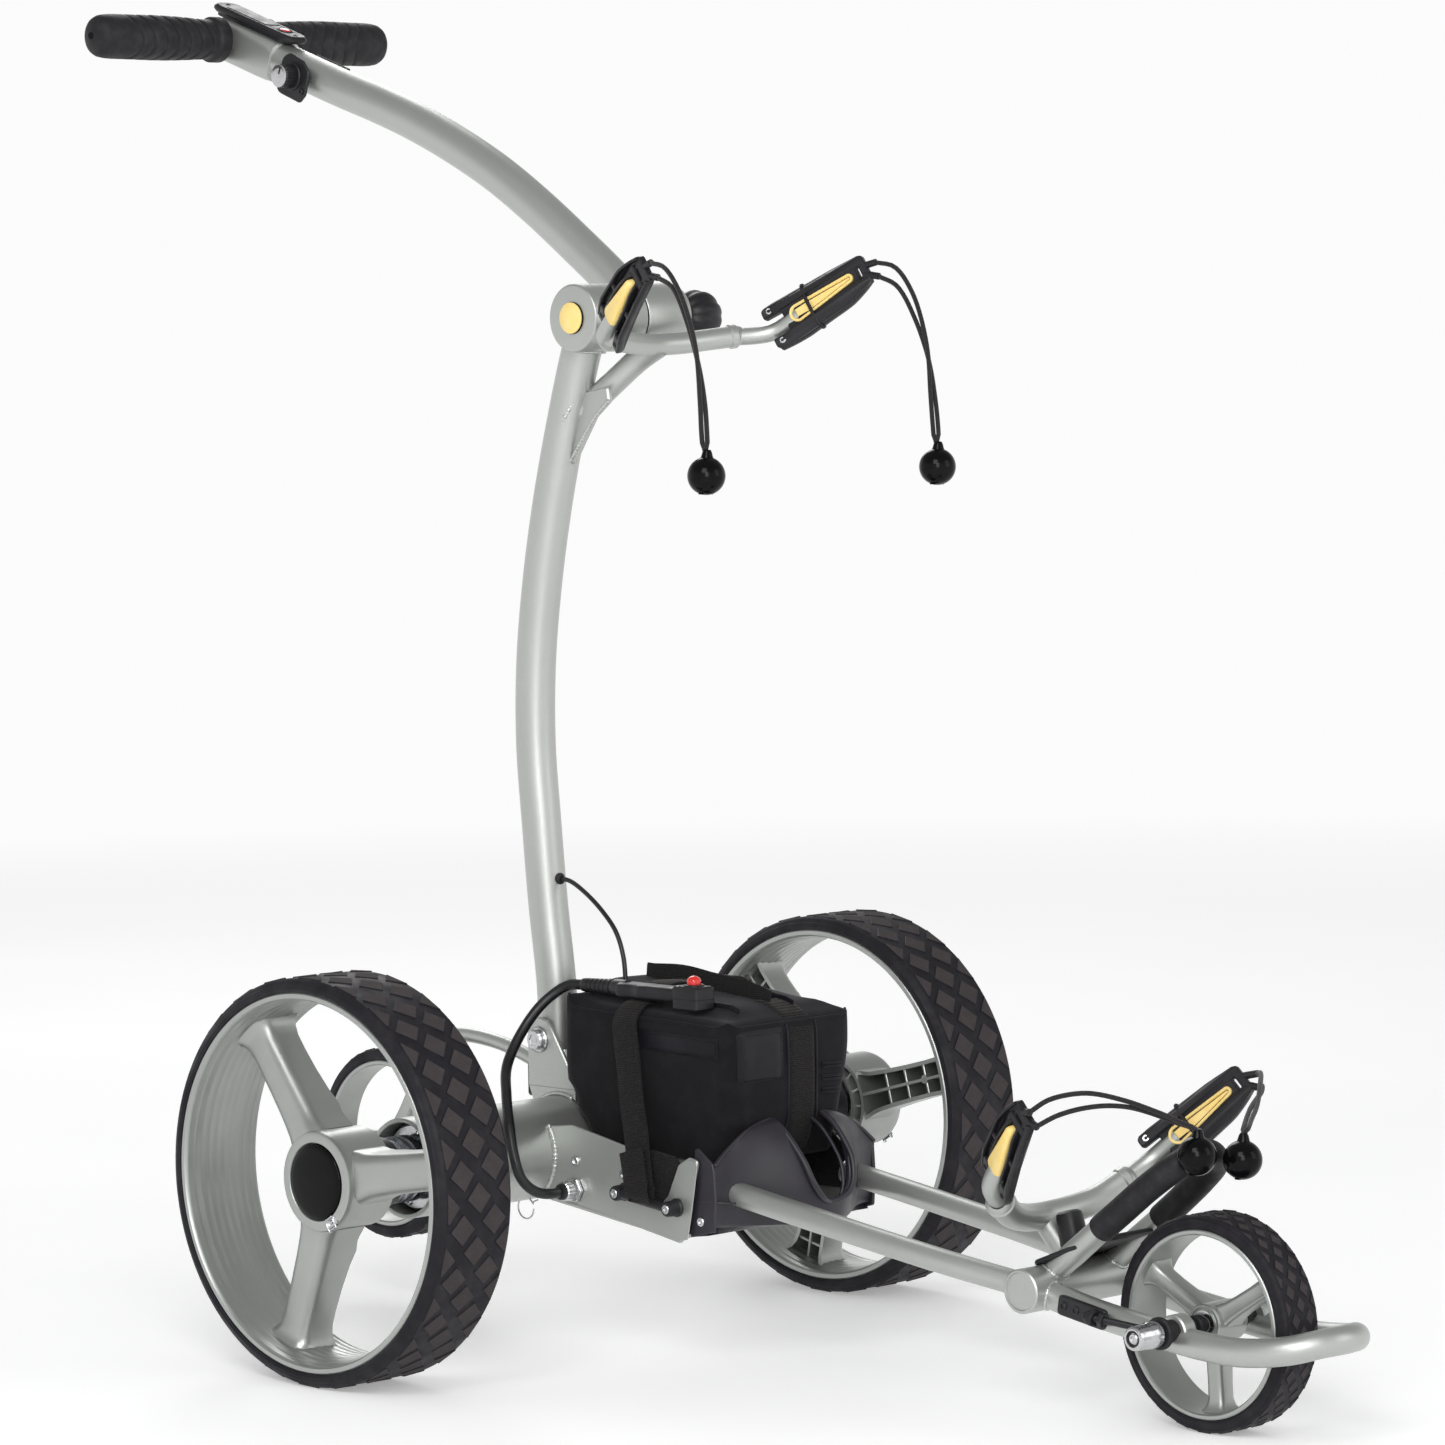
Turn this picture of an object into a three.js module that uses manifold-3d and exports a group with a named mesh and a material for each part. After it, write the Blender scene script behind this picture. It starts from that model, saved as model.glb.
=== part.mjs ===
// Three-wheeled electric golf trolley: folding two-part handle mast, powered rear wheels,
// front steering loop, battery bag, two bag cradles and a rear anti-tip wheel.
// Millimetres, +X forward, +Y to the left, +Z up. The origin is on the ground, under the middle
// of the overall box; every piece below is laid out from the rear axle, REAR_AXLE_X behind it.
import * as THREE from "three";
import { mergeVertices } from "three/addons/utils/BufferGeometryUtils.js";
import Module from "manifold-3d";

const wasm = await Module();
wasm.setup();

// ---- driving dimensions -------------------------------------------------------------------
const REAR_AXLE_X = -141.5; // rear axle to the middle of the overall length
const WHEEL_R = 158.5; // rear tyre outer radius, and the axle height
const WHEEL_Y = 284; // middle plane of each rear wheel
const WHEEL_W = 76.5;
const RIM_R = 146.9; // rear rim outer radius
const RIM_WALL = 6.5;
const HUB_R = 39.3;
const HUB_RECESS = 13.5; // hub face below the rim's outer edge
const SMALL_R = 80; // front and anti-tip wheel radius
const SMALL_RIM_R = 69.3;
const FRONT_X = 640;
const FRONT_W = 40.6;
const ANTITIP_X = -252;
const ANTITIP_Z = 133;
const ANTITIP_W = 30;
const AXLE_Z = WHEEL_R;
const MOTOR_TUBE_R = 39.4;
const MOTOR_TUBE_Y = 219; // half length of the tube that holds the motors
const CHASSIS_Y = 92; // middle of each chassis side plate
const SHEET = 3; // sheet thickness of the chassis
const MAST_R = 16;
const MAST_BORE = 13.6; // both mast tubes are hollow, for the cable to the handle
const MAST_Y = -27; // plane of the lower mast tube
const HANDLE_Y = 29; // plane of the upper tube, beside the lower one
const FOLD = { x: 35, z: 817, r: 27, y0: -53.5, seam: 5.5, y1: 53.5 };
const MAST_FOOT = { x: -24, z: 241 };
const BAR = { x: -458, z: 1060, half: 162, r: 11 }; // crossbar under the two grips
const GRIP_R = 18.4;
const GRIP_INNER = 22; // crossbar centre to the inner end of a grip
const FRAME_R = 9.4; // lower frame tubes
const CROSS = { x: 506, y: 66, z: 96, r: 16.7 };
const LOOP = { y: 45, r: 10.5, tip: 757 };
const UPPER_PAD = { x: 150.5, y: 110, z: 828, run: [0.782, 0.36, 0.511] };
const LOWER_PAD = { x: 533, y: 109.5, z: 208, run: [0.645, 0.39, 0.657] };
const PAD = { length: 96, width: 36, thick: 8, rodEnd: 21 };
const BALL_R = 14.5;
const CORD_R = 1.9;
const LEAD_R = 4.2;
const THIN_LEAD_R = 1.9;
const GAP = 0.3;
const BATTERY = { x0: 22, x1: 216, y: 71, z0: 168, z1: 278, tilt: 0.03 };

// ---- finishes -----------------------------------------------------------------------------
const finish = (color, roughness, metalness) =>
  new THREE.MeshStandardMaterial({ color, roughness, metalness });
const SILVER = finish(0xb4b8b2, 0.38, 0.75);
const STEEL = finish(0xc6c8cc, 0.22, 1);
const BLACK = finish(0x17171b, 0.45, 0);
const RUBBER = finish(0x26242a, 0.85, 0);
const FABRIC = finish(0x121214, 0.95, 0);
const RED = finish(0xc81e1e, 0.2, 0);

// ---- solids -------------------------------------------------------------------------------
const V = (x, y, z) => new THREE.Vector3(x, y, z);

function solid(geometry, matrix) {
  const g = geometry.clone();
  g.deleteAttribute("normal");
  g.deleteAttribute("uv");
  if (matrix) g.applyMatrix4(matrix);
  const merged = mergeVertices(g, 1e-3);
  const vertProperties = merged.attributes.position.array;
  const triVerts = new Uint32Array(merged.index.array);
  return new wasm.Manifold(new wasm.Mesh({ numProp: 3, vertProperties, triVerts }));
}

const moved = (x, y, z) => new THREE.Matrix4().makeTranslation(x, y, z);
const onPoint = (p) => moved(p.x, p.y, p.z);
const join = (first, ...rest) => rest.reduce((all, s) => all.add(s), first);
const cut = (first, ...rest) => rest.reduce((all, s) => all.subtract(s), first);

// A box between two corners.
function block(x0, y0, z0, x1, y1, z1) {
  const g = new THREE.BoxGeometry(x1 - x0, y1 - y0, z1 - z0);
  return solid(g, moved((x0 + x1) / 2, (y0 + y1) / 2, (z0 + z1) / 2));
}

// A box with its own frame: length along u, width along w, thickness along u x w.
function plate(centre, u, w, length, width, thick) {
  const n = new THREE.Vector3().crossVectors(u, w);
  const m = new THREE.Matrix4().makeBasis(u, w, n).setPosition(centre);
  return solid(new THREE.BoxGeometry(length, width, thick), m);
}

// A cylinder or cone frustum between two points.
function rod(a, b, r0, r1 = r0, sides = 16) {
  const axis = new THREE.Vector3().subVectors(b, a);
  const g = new THREE.CylinderGeometry(r1, r0, axis.length(), sides);
  const q = new THREE.Quaternion().setFromUnitVectors(V(0, 1, 0), axis.clone().normalize());
  const mid = new THREE.Vector3().addVectors(a, b).multiplyScalar(0.5);
  return solid(g, new THREE.Matrix4().compose(mid, q, V(1, 1, 1)));
}

const yRod = (x, z, y0, y1, r, sides = 16) => rod(V(x, y0, z), V(x, y1, z), r, r, sides);

// A ring or disc about a line along Y: the profile is [radius, y] pairs, anticlockwise.
function turned(x, z, profile, segments = 32) {
  const points = profile.map(([r, y]) => new THREE.Vector2(r, y));
  if (profile[0][0] > 0) points.push(points[0].clone());
  return solid(new THREE.LatheGeometry(points, segments), moved(x, 0, z));
}

// A round tube along a smooth curve through the points; bore leaves it hollow.
function tube(points, radius, { sides = 12, steps = 16, bore = 0 } = {}) {
  const path = new THREE.CatmullRomCurve3(points, false, "centripetal");
  const section = new THREE.Shape();
  section.absarc(0, 0, radius, 0, Math.PI * 2, false);
  if (bore) {
    const hole = new THREE.Path();
    hole.absarc(0, 0, bore, 0, Math.PI * 2, true);
    section.holes.push(hole);
  }
  return solid(
    new THREE.ExtrudeGeometry(section, {
      steps,
      curveSegments: sides / 2, // an arc gets two segments for each of these
      extrudePath: path,
      bevelEnabled: false,
    }),
  );
}

// A flat outline in the XZ plane, given thickness along Y from y0 to y1.
function profiled(outline, y0, y1, holes = []) {
  const shape = new THREE.Shape(outline.map(([x, z]) => new THREE.Vector2(x, z)));
  for (const { x, z, r } of holes) {
    const hole = new THREE.Path();
    hole.absarc(x, z, r, 0, Math.PI * 2, true);
    shape.holes.push(hole);
  }
  const options = { depth: y1 - y0, bevelEnabled: false, curveSegments: 8 };
  const g = new THREE.ExtrudeGeometry(shape, options);
  const m = new THREE.Matrix4().makeRotationX(Math.PI / 2).setPosition(0, y1, 0);
  return solid(g, m);
}

// Points at the same place on the other side of the middle plane.
const side = (points, s) => points.map(([x, y, z]) => V(x, y * s, z));

const trolley = new THREE.Group();
trolley.position.x = REAR_AXLE_X;

function add(name, shape, material) {
  const { vertProperties, triVerts } = shape.getMesh();
  const g = new THREE.BufferGeometry();
  g.setAttribute("position", new THREE.BufferAttribute(new Float32Array(vertProperties), 3));
  g.setIndex(new THREE.BufferAttribute(new Uint32Array(triVerts), 1));
  const mesh = new THREE.Mesh(g, material);
  mesh.name = name;
  trolley.add(mesh);
}

// Both sides of the trolley: -Y is the right-hand side.
const SIDES = { right: -1, left: 1 };
const bothSides = (build) => Object.entries(SIDES).forEach(([word, s]) => build(word, s));

// ---- wheels -------------------------------------------------------------------------------
// A tyre with bevelled shoulders, y measured from the wheel's middle plane.
function tyre(x, y, z, outer, inner, width, segments) {
  const half = width / 2;
  const profile = [
    [inner, -half + 1.5],
    [inner + 3, -half],
    [outer - 3, -half + 1.5],
    [outer, -half + 6],
    [outer, half - 6],
    [outer - 3, half - 1.5],
    [inner + 3, half],
    [inner, half - 1.5],
  ];
  return turned(x, z, profile.map(([r, h]) => [r, h + y]), segments);
}

// A rim: barrel, hub and three spokes that taper from the hub to the barrel.
function rim({ x, y, z, s, r, wall, width, hubR, hubOut, hubIn, bore, spoke, phase, segments }) {
  const half = width / 2;
  const barrel = [
    [r - wall, -half],
    [r, -half],
    [r, half],
    [r - wall, half],
  ];
  let body = turned(x, z, barrel.map(([q, h]) => [q, h + y]), segments);
  const hub = s > 0 ? [y - hubIn, y + hubOut] : [y - hubOut, y + hubIn];
  body = body.add(yRod(x, z, hub[0], hub[1], hubR, 24));
  for (let i = 0; i < 3; i++) {
    const outline = [
      [hubR * 0.4, hubOut - 2],
      [hubR * 1.25, hubOut - 5],
      [r - wall / 2, spoke.rimOut],
      [r - wall / 2, -spoke.rimIn],
      [hubR * 0.4, -spoke.hubIn],
    ];
    const shape = new THREE.Shape(outline.map(([a, b]) => new THREE.Vector2(a, b * s)));
    const options = { depth: spoke.width, bevelEnabled: false };
    const g = new THREE.ExtrudeGeometry(shape, options);
    const m = moved(x, y, z);
    m.multiply(new THREE.Matrix4().makeRotationY(-phase - (i * 2 * Math.PI) / 3));
    m.multiply(moved(0, 0, -spoke.width / 2));
    body = body.add(solid(g, m));
  }
  return body.subtract(yRod(x, z, hub[0] - 1, hub[1] + 1, bore, 16));
}

const REAR_SPOKE = { width: 42, rimOut: 12, rimIn: 22, hubIn: 34 };
const REAR_PHASE = { right: THREE.MathUtils.degToRad(8.5), left: THREE.MathUtils.degToRad(15) };
const SHAFT_R = 8;
const HUB_FACE = WHEEL_W / 2 - HUB_RECESS; // outward of the wheel's middle plane
const CATCH_ANGLE = THREE.MathUtils.degToRad(-58);

bothSides((word, s) => {
  const y = s * WHEEL_Y;
  const out = (h) => y + s * h; // h outward of the middle plane
  add("rear_tyre_" + word, tyre(0, y, AXLE_Z, WHEEL_R, RIM_R + GAP, WHEEL_W, 32), RUBBER);
  const body = rim({
    x: 0, y, z: AXLE_Z, s, r: RIM_R, wall: RIM_WALL, width: WHEEL_W - 3, hubR: HUB_R,
    hubOut: HUB_FACE, hubIn: 33, bore: SHAFT_R + GAP, spoke: REAR_SPOKE,
    phase: REAR_PHASE[word], segments: 32,
  });
  // A shallow seat for the cap, a slot for the catch and a socket for the drive collar.
  const seat = rod(V(0, out(HUB_FACE - 6), AXLE_Z), V(0, out(HUB_FACE + 2), AXLE_Z), 30, 30, 24);
  const socket = rod(V(0, out(-40), AXLE_Z), V(0, out(-24), AXLE_Z), 28, 28, 20);
  const at = (r) => V(Math.cos(CATCH_ANGLE) * r, 0, AXLE_Z + Math.sin(CATCH_ANGLE) * r);
  const across = V(-Math.sin(CATCH_ANGLE), 0, Math.cos(CATCH_ANGLE));
  const radial = V(Math.cos(CATCH_ANGLE), 0, Math.sin(CATCH_ANGLE));
  const slotCentre = at(35.5).setY(out(HUB_FACE - 1));
  const slot = plate(slotCentre, radial, across, 9, 11, 8);
  add("rear_rim_" + word, cut(body, seat, socket, slot), SILVER);
  const cap = turned(0, AXLE_Z, [[0, -2.6], [29.3, -2.6], [29.3, 0.6], [24, 2.2], [0, 2.8]], 28);
  add("hub_cap_" + word, mirroredTo(cap, out(HUB_FACE - 2), s), BLACK);
  const clip = plate(at(35.5).setY(out(HUB_FACE - 0.6)), radial, across, 7, 9, 4);
  add("wheel_catch_" + word, clip, STEEL);
  // The drive axle: a shaft into the hub and the collar that the wheel locks on to.
  const shaft = rod(V(0, s * 209, AXLE_Z), V(0, out(HUB_FACE - 7), AXLE_Z), SHAFT_R, SHAFT_R, 12);
  const collar = rod(V(0, s * 213, AXLE_Z), V(0, out(-24.6), AXLE_Z), 26, 26, 20);
  add("drive_axle_" + word, join(shaft, collar), STEEL);
});

// A shape made around y = 0 with its front towards +Y, moved to y and turned to face side s.
function mirroredTo(shape, y, s) {
  const turn = s > 0 ? shape : shape.rotate([180, 0, 0]).translate([0, 0, 2 * AXLE_Z]);
  return turn.translate([0, y, 0]);
}

add("front_tyre", tyre(FRONT_X, 0, SMALL_R, SMALL_R, SMALL_RIM_R + GAP, FRONT_W, 24), RUBBER);
add(
  "front_rim",
  rim({
    x: FRONT_X, y: 0, z: SMALL_R, s: -1, r: SMALL_RIM_R, wall: 4, width: FRONT_W - 2, hubR: 15,
    hubOut: 17, hubIn: 17, bore: 5 + GAP,
    spoke: { width: 17, rimOut: 9, rimIn: 9, hubIn: 13 },
    phase: THREE.MathUtils.degToRad(32), segments: 24,
  }),
  SILVER,
);
add(
  "antitip_tyre",
  tyre(ANTITIP_X, 0, ANTITIP_Z, SMALL_R, SMALL_RIM_R + GAP, ANTITIP_W, 24),
  RUBBER,
);
add(
  "antitip_rim",
  rim({
    x: ANTITIP_X, y: 0, z: ANTITIP_Z, s: -1, r: SMALL_RIM_R, wall: 4, width: ANTITIP_W - 2,
    hubR: 15, hubOut: 12, hubIn: 12, bore: 5 + GAP,
    spoke: { width: 17, rimOut: 6, rimIn: 6, hubIn: 9 },
    phase: THREE.MathUtils.degToRad(60), segments: 24,
  }),
  SILVER,
);

// ---- motor tube and chassis ---------------------------------------------------------------
const motorTube = cut(
  yRod(0, AXLE_Z, -MOTOR_TUBE_Y, MOTOR_TUBE_Y, MOTOR_TUBE_R, 28),
  yRod(0, AXLE_Z, -MOTOR_TUBE_Y - 1, MOTOR_TUBE_Y + 1, MOTOR_TUBE_R - 3.4, 28),
);
add("motor_housing", motorTube, SILVER);

bothSides((word, s) => {
  const motor = rod(V(0, s * 62, AXLE_Z), V(0, s * 146, AXLE_Z), 31, 31, 20);
  const gearbox = rod(V(0, s * 146, AXLE_Z), V(0, s * 207, AXLE_Z), 34.5, 34.5, 20);
  const bore = rod(V(0, s * 202, AXLE_Z), V(0, s * 212, AXLE_Z), SHAFT_R + GAP, SHAFT_R + GAP, 12);
  const recess = rod(V(0, s * 205, AXLE_Z), V(0, s * 209, AXLE_Z), 27, 27, 20);
  add("drive_unit_" + word, cut(join(motor, gearbox), bore, recess), STEEL);
});

// Side plate: butts on the motor tube, dips for the battery strap, rises at its front corner.
const noseAngle = (a) => [
  Math.cos(a) * (MOTOR_TUBE_R + 0.6),
  AXLE_Z + Math.sin(a) * (MOTOR_TUBE_R + 0.6),
];
const SIDE_PLATE = [
  noseAngle(-0.86),
  [180, 101.7],
  [188, 128],
  [200, 168],
  [190, 170],
  [178, 163],
  [166, 138],
  [158, 131],
  [140, 132],
  [131, 142],
  [122, 172],
  [60, 184],
  noseAngle(0.6),
  noseAngle(0.3),
  noseAngle(0),
  noseAngle(-0.3),
  noseAngle(-0.6),
];
const floorPan = profiled(
  [[32, 121.5], [176, 104], [176, 107], [32, 124.5]],
  -CHASSIS_Y + 1,
  CHASSIS_Y - 1,
);
const pan = join(
  profiled(SIDE_PLATE, -CHASSIS_Y - SHEET / 2, -CHASSIS_Y + SHEET / 2),
  profiled(SIDE_PLATE, CHASSIS_Y - SHEET / 2, CHASSIS_Y + SHEET / 2),
  floorPan,
);
const CONNECTOR = { x: 62, z: 133 };
const connectorHole = yRod(CONNECTOR.x, CONNECTOR.z, -CHASSIS_Y - 3, -CHASSIS_Y + 3, 8.4, 12);
add("chassis_tray", cut(pan, connectorHole), SILVER);
add(
  "chassis_connector",
  join(
    yRod(CONNECTOR.x, CONNECTOR.z, -CHASSIS_Y - 16, -CHASSIS_Y + 12, 7.8, 12),
    yRod(CONNECTOR.x, CONNECTOR.z, -CHASSIS_Y - 8, -CHASSIS_Y - 1.9, 10.5, 6),
  ),
  STEEL,
);
add("controller", block(80, -60, 121.5, 150, 60, 140), BLACK);

// Two studs on the right side plate carry the bar that the battery strap loops round.
const STUDS = [[120, 137], [177, 130]];
const STUD_Y = -CHASSIS_Y - 1.9;
const studs = STUDS.map(([x, z]) => rod(V(x, STUD_Y, z), V(x, STUD_Y - 13, z), 6, 5.5, 12));
const barEnds = STUDS.map(([x, z]) => V(x, STUD_Y - 8, z));
add("strap_bar", join(...studs, rod(barEnds[0], barEnds[1], 4, 4, 10)), BLACK);

// Clevis ears on the motor tube; the mast's foot turns between them.
const EAR = { thick: 4, near: MAST_Y - 20, far: MAST_Y + 20 };
const EAR_OUTLINE = [
  [-37, 203],
  [17, 203],
  [16, 212],
  [-10, 252],
  [-16, 257],
  [-24, 259],
  [-32, 257],
  [-37, 250],
];
const earHole = [{ x: MAST_FOOT.x, z: MAST_FOOT.z, r: 5.4 }];
const ear = (y) => profiled(EAR_OUTLINE, y - EAR.thick / 2, y + EAR.thick / 2, earHole);
const saddleOutline = [
  [-37, 203.5],
  [17, 203.5],
  ...[1.14, 1.3, 1.6, 1.9, 2.2, 2.4].map((a) => [
    Math.cos(a) * (MOTOR_TUBE_R + 0.5),
    AXLE_Z + Math.sin(a) * (MOTOR_TUBE_R + 0.5),
  ]),
];
const saddle = profiled(saddleOutline, EAR.near - 2, EAR.far + 2);
add("mast_bracket", join(ear(EAR.near), ear(EAR.far), saddle), SILVER);
add(
  "mast_bolt",
  join(
    yRod(MAST_FOOT.x, MAST_FOOT.z, EAR.near - 8, EAR.far + 8, 5, 12),
    yRod(MAST_FOOT.x, MAST_FOOT.z, EAR.near - 8, EAR.near - 2.4, 9, 12),
    yRod(MAST_FOOT.x, MAST_FOOT.z, EAR.far + 2.4, EAR.far + 8, 9, 6),
  ),
  STEEL,
);

// ---- anti-tip arm -------------------------------------------------------------------------
const ARM_Y = 24;
const armPath = [
  V(-48, ARM_Y, 196),
  V(-80, ARM_Y, 203),
  V(-150, ARM_Y, 222),
  V(-205, ARM_Y, 224),
  V(-238, ARM_Y, 212),
  V(ANTITIP_X, ARM_Y, 184),
  V(ANTITIP_X, ARM_Y, ANTITIP_Z - 8),
];
const antitipAxle = yRod(ANTITIP_X, ANTITIP_Z, -20, ARM_Y, 5, 12);
const axleHead = yRod(ANTITIP_X, ANTITIP_Z, -20, -15.5, 8, 6);
const armSocket = cut(
  block(-96, ARM_Y - 18, 182, -30, ARM_Y + 12, 214),
  yRod(0, AXLE_Z, 0, 50, MOTOR_TUBE_R + 0.6, 28),
  block(-39, 0, 180, -20, EAR.far + 3, 220),
);
const arm = tube(armPath, 6, { steps: 14, sides: 8 });
add("antitip_arm", join(arm, armSocket, antitipAxle, axleHead), SILVER);

// ---- front moulding, lower frame and front loop -------------------------------------------
// A tray front that closes the chassis and dishes inwards to seat the bag's foot.
const trayOuter = profiled(
  [[185, 107], [246, 116], [252, 150], [240, 196], [222, 196], [216, 168], [206, 172], [204, 160]],
  -CHASSIS_Y + 2.4,
  CHASSIS_Y - 2.4,
);
const dish = rod(V(330, 0, 250), V(214, 0, 150), 62, 46, 24);
const inside = block(150, -70, 100, 222, 70, 230);
const frameBore = (s) => rod(V(200, s * 66, 143.1), V(300, s * 65, 128.3), FRAME_R + 0.6);
const frontTray = cut(trayOuter, dish, inside, frameBore(1), frameBore(-1));
add("front_tray", frontTray, BLACK);

bothSides((word, s) => {
  const start = V(205, s * 66, 142.4);
  const end = V(CROSS.x - CROSS.r - 0.8, s * 50, 98.6);
  const bend = V(430, s * 60, 108.5);
  const crossing = yRod(CROSS.x, CROSS.z, -CROSS.y, CROSS.y, CROSS.r + 0.4, 24);
  const run = tube([start, V(310, s * 65, 126.8), bend, end], FRAME_R, { steps: 5, bore: FRAME_R - 2, sides: 10 });
  add("frame_tube_" + word, run.subtract(crossing), SILVER);
});

const stub = (s) => rod(V(CROSS.x + 6, s * 34, CROSS.z + 12), V(554, s * 34, 140.5), 9, 9, 12);
add(
  "cross_tube",
  join(yRod(CROSS.x, CROSS.z, -CROSS.y, CROSS.y, CROSS.r, 24), stub(1), stub(-1)),
  SILVER,
);

const loopHalf = [
  [523, LOOP.y, 91],
  [560, LOOP.y, 84],
  [610, LOOP.y, 77],
  [660, LOOP.y, 71],
  [700, LOOP.y, 70],
  [734, 36, 74],
  [752, 18, 79],
];
const loopPoints = [
  ...side(loopHalf, -1),
  V(LOOP.tip, 0, 80),
  ...side(loopHalf, 1).reverse(),
];
const axleBore = yRod(FRONT_X, SMALL_R, -60, 60, 5.4, 12);
const dropouts = [-1, 1].map((s) => block(626, s * LOOP.y - 6, 66, 654, s * LOOP.y + 6, 92));
const loopTube = tube(loopPoints, LOOP.r, { steps: 20, sides: 8 });
add("front_loop", cut(join(loopTube, ...dropouts), axleBore), SILVER);

const NUT_END = 92;
const nut = (s) => rod(V(FRONT_X, s * 56.6, SMALL_R), V(FRONT_X, s * NUT_END, SMALL_R), 9.5, 9, 12);
add("front_axle", join(yRod(FRONT_X, SMALL_R, -62, 62, 5, 12), nut(1), nut(-1)), STEEL);
const trackPlate = plate(V(561, -LOOP.y - 13.5, 86), V(0.985, 0, -0.17), V(0.17, 0, 0.985), 46, 15, 4);
const trackBolt = rod(V(575, -LOOP.y - 16.5, 84), V(629, -LOOP.y - 16.5, 80), 3, 3, 8);
add("tracking_adjuster", join(trackPlate, trackBolt), BLACK);

// ---- bag rest and lower cradle ------------------------------------------------------------
const hoopHalf = [
  [548, 34, 136],
  [580, 33, 161],
  [601, 31, 178],
  [617, 25, 191],
  [625, 13, 199],
];
const hoop = tube(
  [...side(hoopHalf, -1), V(628, 0, 202), ...side(hoopHalf, 1).reverse()],
  10.5,
  { steps: 16, sides: 8 },
);
const pegTop = V(496, 0, 148);
const pegFoot = V(504, 0, 116);
const peg = rod(pegFoot, pegTop, 11, 10.5, 14);
const footPlate = plate(V(530, 0, 123.7), V(0.93, 0, 0.37), V(-0.37, 0, 0.93), 70, 5, 88);
const stubRoom = [-1, 1].map((s) => rod(V(500, s * 34, 98.7), V(554.6, s * 34, 140.9), 9.6, 9.6, 12));
const crossRoom = yRod(CROSS.x, CROSS.z, -CROSS.y - 1, CROSS.y + 1, CROSS.r + 0.5, 24);
const restBody = cut(join(hoop, footPlate), ...stubRoom, crossRoom);
add("bag_rest", join(restBody, peg), RUBBER);

// A cradle: a U of tube, thinner at its ends, on a post.
function cradle(half, place, lead) {
  const wide = tube([...side(half, -1), ...side(half, 1).reverse()], 10.5, { steps: 10, sides: 8 });
  const ends = [-1, 1].map((s) => tube(rodPath(place, lead, s), ROD_R, { steps: 5, sides: 8 }));
  return join(wide, ...ends);
}

// A pad lies along the bag's girth: u runs along it, w along the bag, n points outwards.
function padFrame(place, s) {
  const [x, y, z] = place.run;
  const u = V(x, y * s, z).normalize();
  const across = new THREE.Vector3().crossVectors(u, V(-0.524, 0, 0.852)).normalize();
  const w = new THREE.Vector3().crossVectors(across, u).normalize();
  const n = across.clone().multiplyScalar(across.y * s > 0 ? 1 : -1);
  const centre = V(place.x, place.y * s, place.z);
  const at = (a, b, c) =>
    centre.clone().addScaledVector(u, a).addScaledVector(w, b).addScaledVector(n, c);
  return { u, w, n, at };
}
const rodPath = (place, lead, s) => {
  const { at } = padFrame(place, s);
  return [...side(lead, s), at(-PAD.length * 0.5, 0, 0), at(-PAD.rodEnd, 0, 0)];
};
const ROD_R = 7.5;
const LOWER_LEAD = [[484, 50, 150], [490, 66, 159]];
const lowerWide = [[492, 70, 161], [483, 48, 149], [475, 24, 143], [471, 3, 141]];
const lowerCradle = cradle(lowerWide, LOWER_PAD, LOWER_LEAD);
const lowerPost = rod(V(472, 0, 138), V(500, 0, CROSS.z + 10), 9, 9, 12);
const pegRoom = rod(V(506, 0, 108), V(495, 0, 152), 11.9, 11.6, 14);
const footRoom = plate(V(527, 0, 122.5), V(0.93, 0, 0.37), V(-0.37, 0, 0.93), 65, 6, 85);
add("lower_cradle", cut(join(lowerCradle, lowerPost), pegRoom, footRoom, crossRoom), SILVER);

// ---- cradle pads and their elastic cords --------------------------------------------------
function addPad(name, place, lead, s) {
  const { u, w, n, at } = padFrame(place, s);
  const middle = plate(at(0, 0, 0), u, w, PAD.length * 0.5, PAD.width, PAD.thick);
  const tip = (e) => {
    const bent = u.clone().multiplyScalar(e).addScaledVector(n, -0.22).normalize();
    const size = [PAD.length * 0.28, PAD.width * 0.82, PAD.thick - 1];
    return plate(at(e * PAD.length * 0.36, 0, -1.4), bent, w, ...size);
  };
  const slot = tube(rodPath(place, lead, s), ROD_R + 0.5, { steps: 5, sides: 8 });
  const slotEnd = rod(at(-PAD.rodEnd - 2, 0, 0), at(-PAD.rodEnd + 0.6, 0, 0), ROD_R + 0.5, ROD_R, 8);
  add(name, cut(join(middle, tip(1), tip(-1)), slot, slotEnd), BLACK);
}
// An elastic cord: two strands from the pad's end that meet in one knot above the ball.
function strands(first, second) {
  const one = tube(first, CORD_R, { sides: 8, steps: 8 });
  const two = tube(second, CORD_R, { sides: 8, steps: 8 });
  return join(one, two);
}
const ball = (c) => solid(new THREE.SphereGeometry(BALL_R, 12, 8), onPoint(c));

const UPPER_LEAD = [[84, 52, 799], [92, 68, 800]];
const UPPER_CORD = {
  near: [[196, 124, 857], [214, 127, 853], [232, 128, 832], [246, 128, 795], [252, 128, 755],
    [254, 128, 728], [255.5, 128, 711.5]],
  far: [[201, 122, 846], [219, 124, 838], [236, 126, 812], [248, 127, 780], [253, 127, 748],
    [255, 128, 726], [255.5, 128, 711.5]],
};
const UPPER_BALL = V(256, 128, 696.2);

bothSides((word, s) => {
  addPad("upper_pad_" + word, UPPER_PAD, UPPER_LEAD, s);
  add("upper_cord_" + word, strands(side(UPPER_CORD.near, s), side(UPPER_CORD.far, s)), FABRIC);
  add("upper_ball_" + word, ball(UPPER_BALL.clone().multiply(V(1, s, 1))), BLACK);
  addPad("lower_pad_" + word, LOWER_PAD, LOWER_LEAD, s);
});

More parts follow.
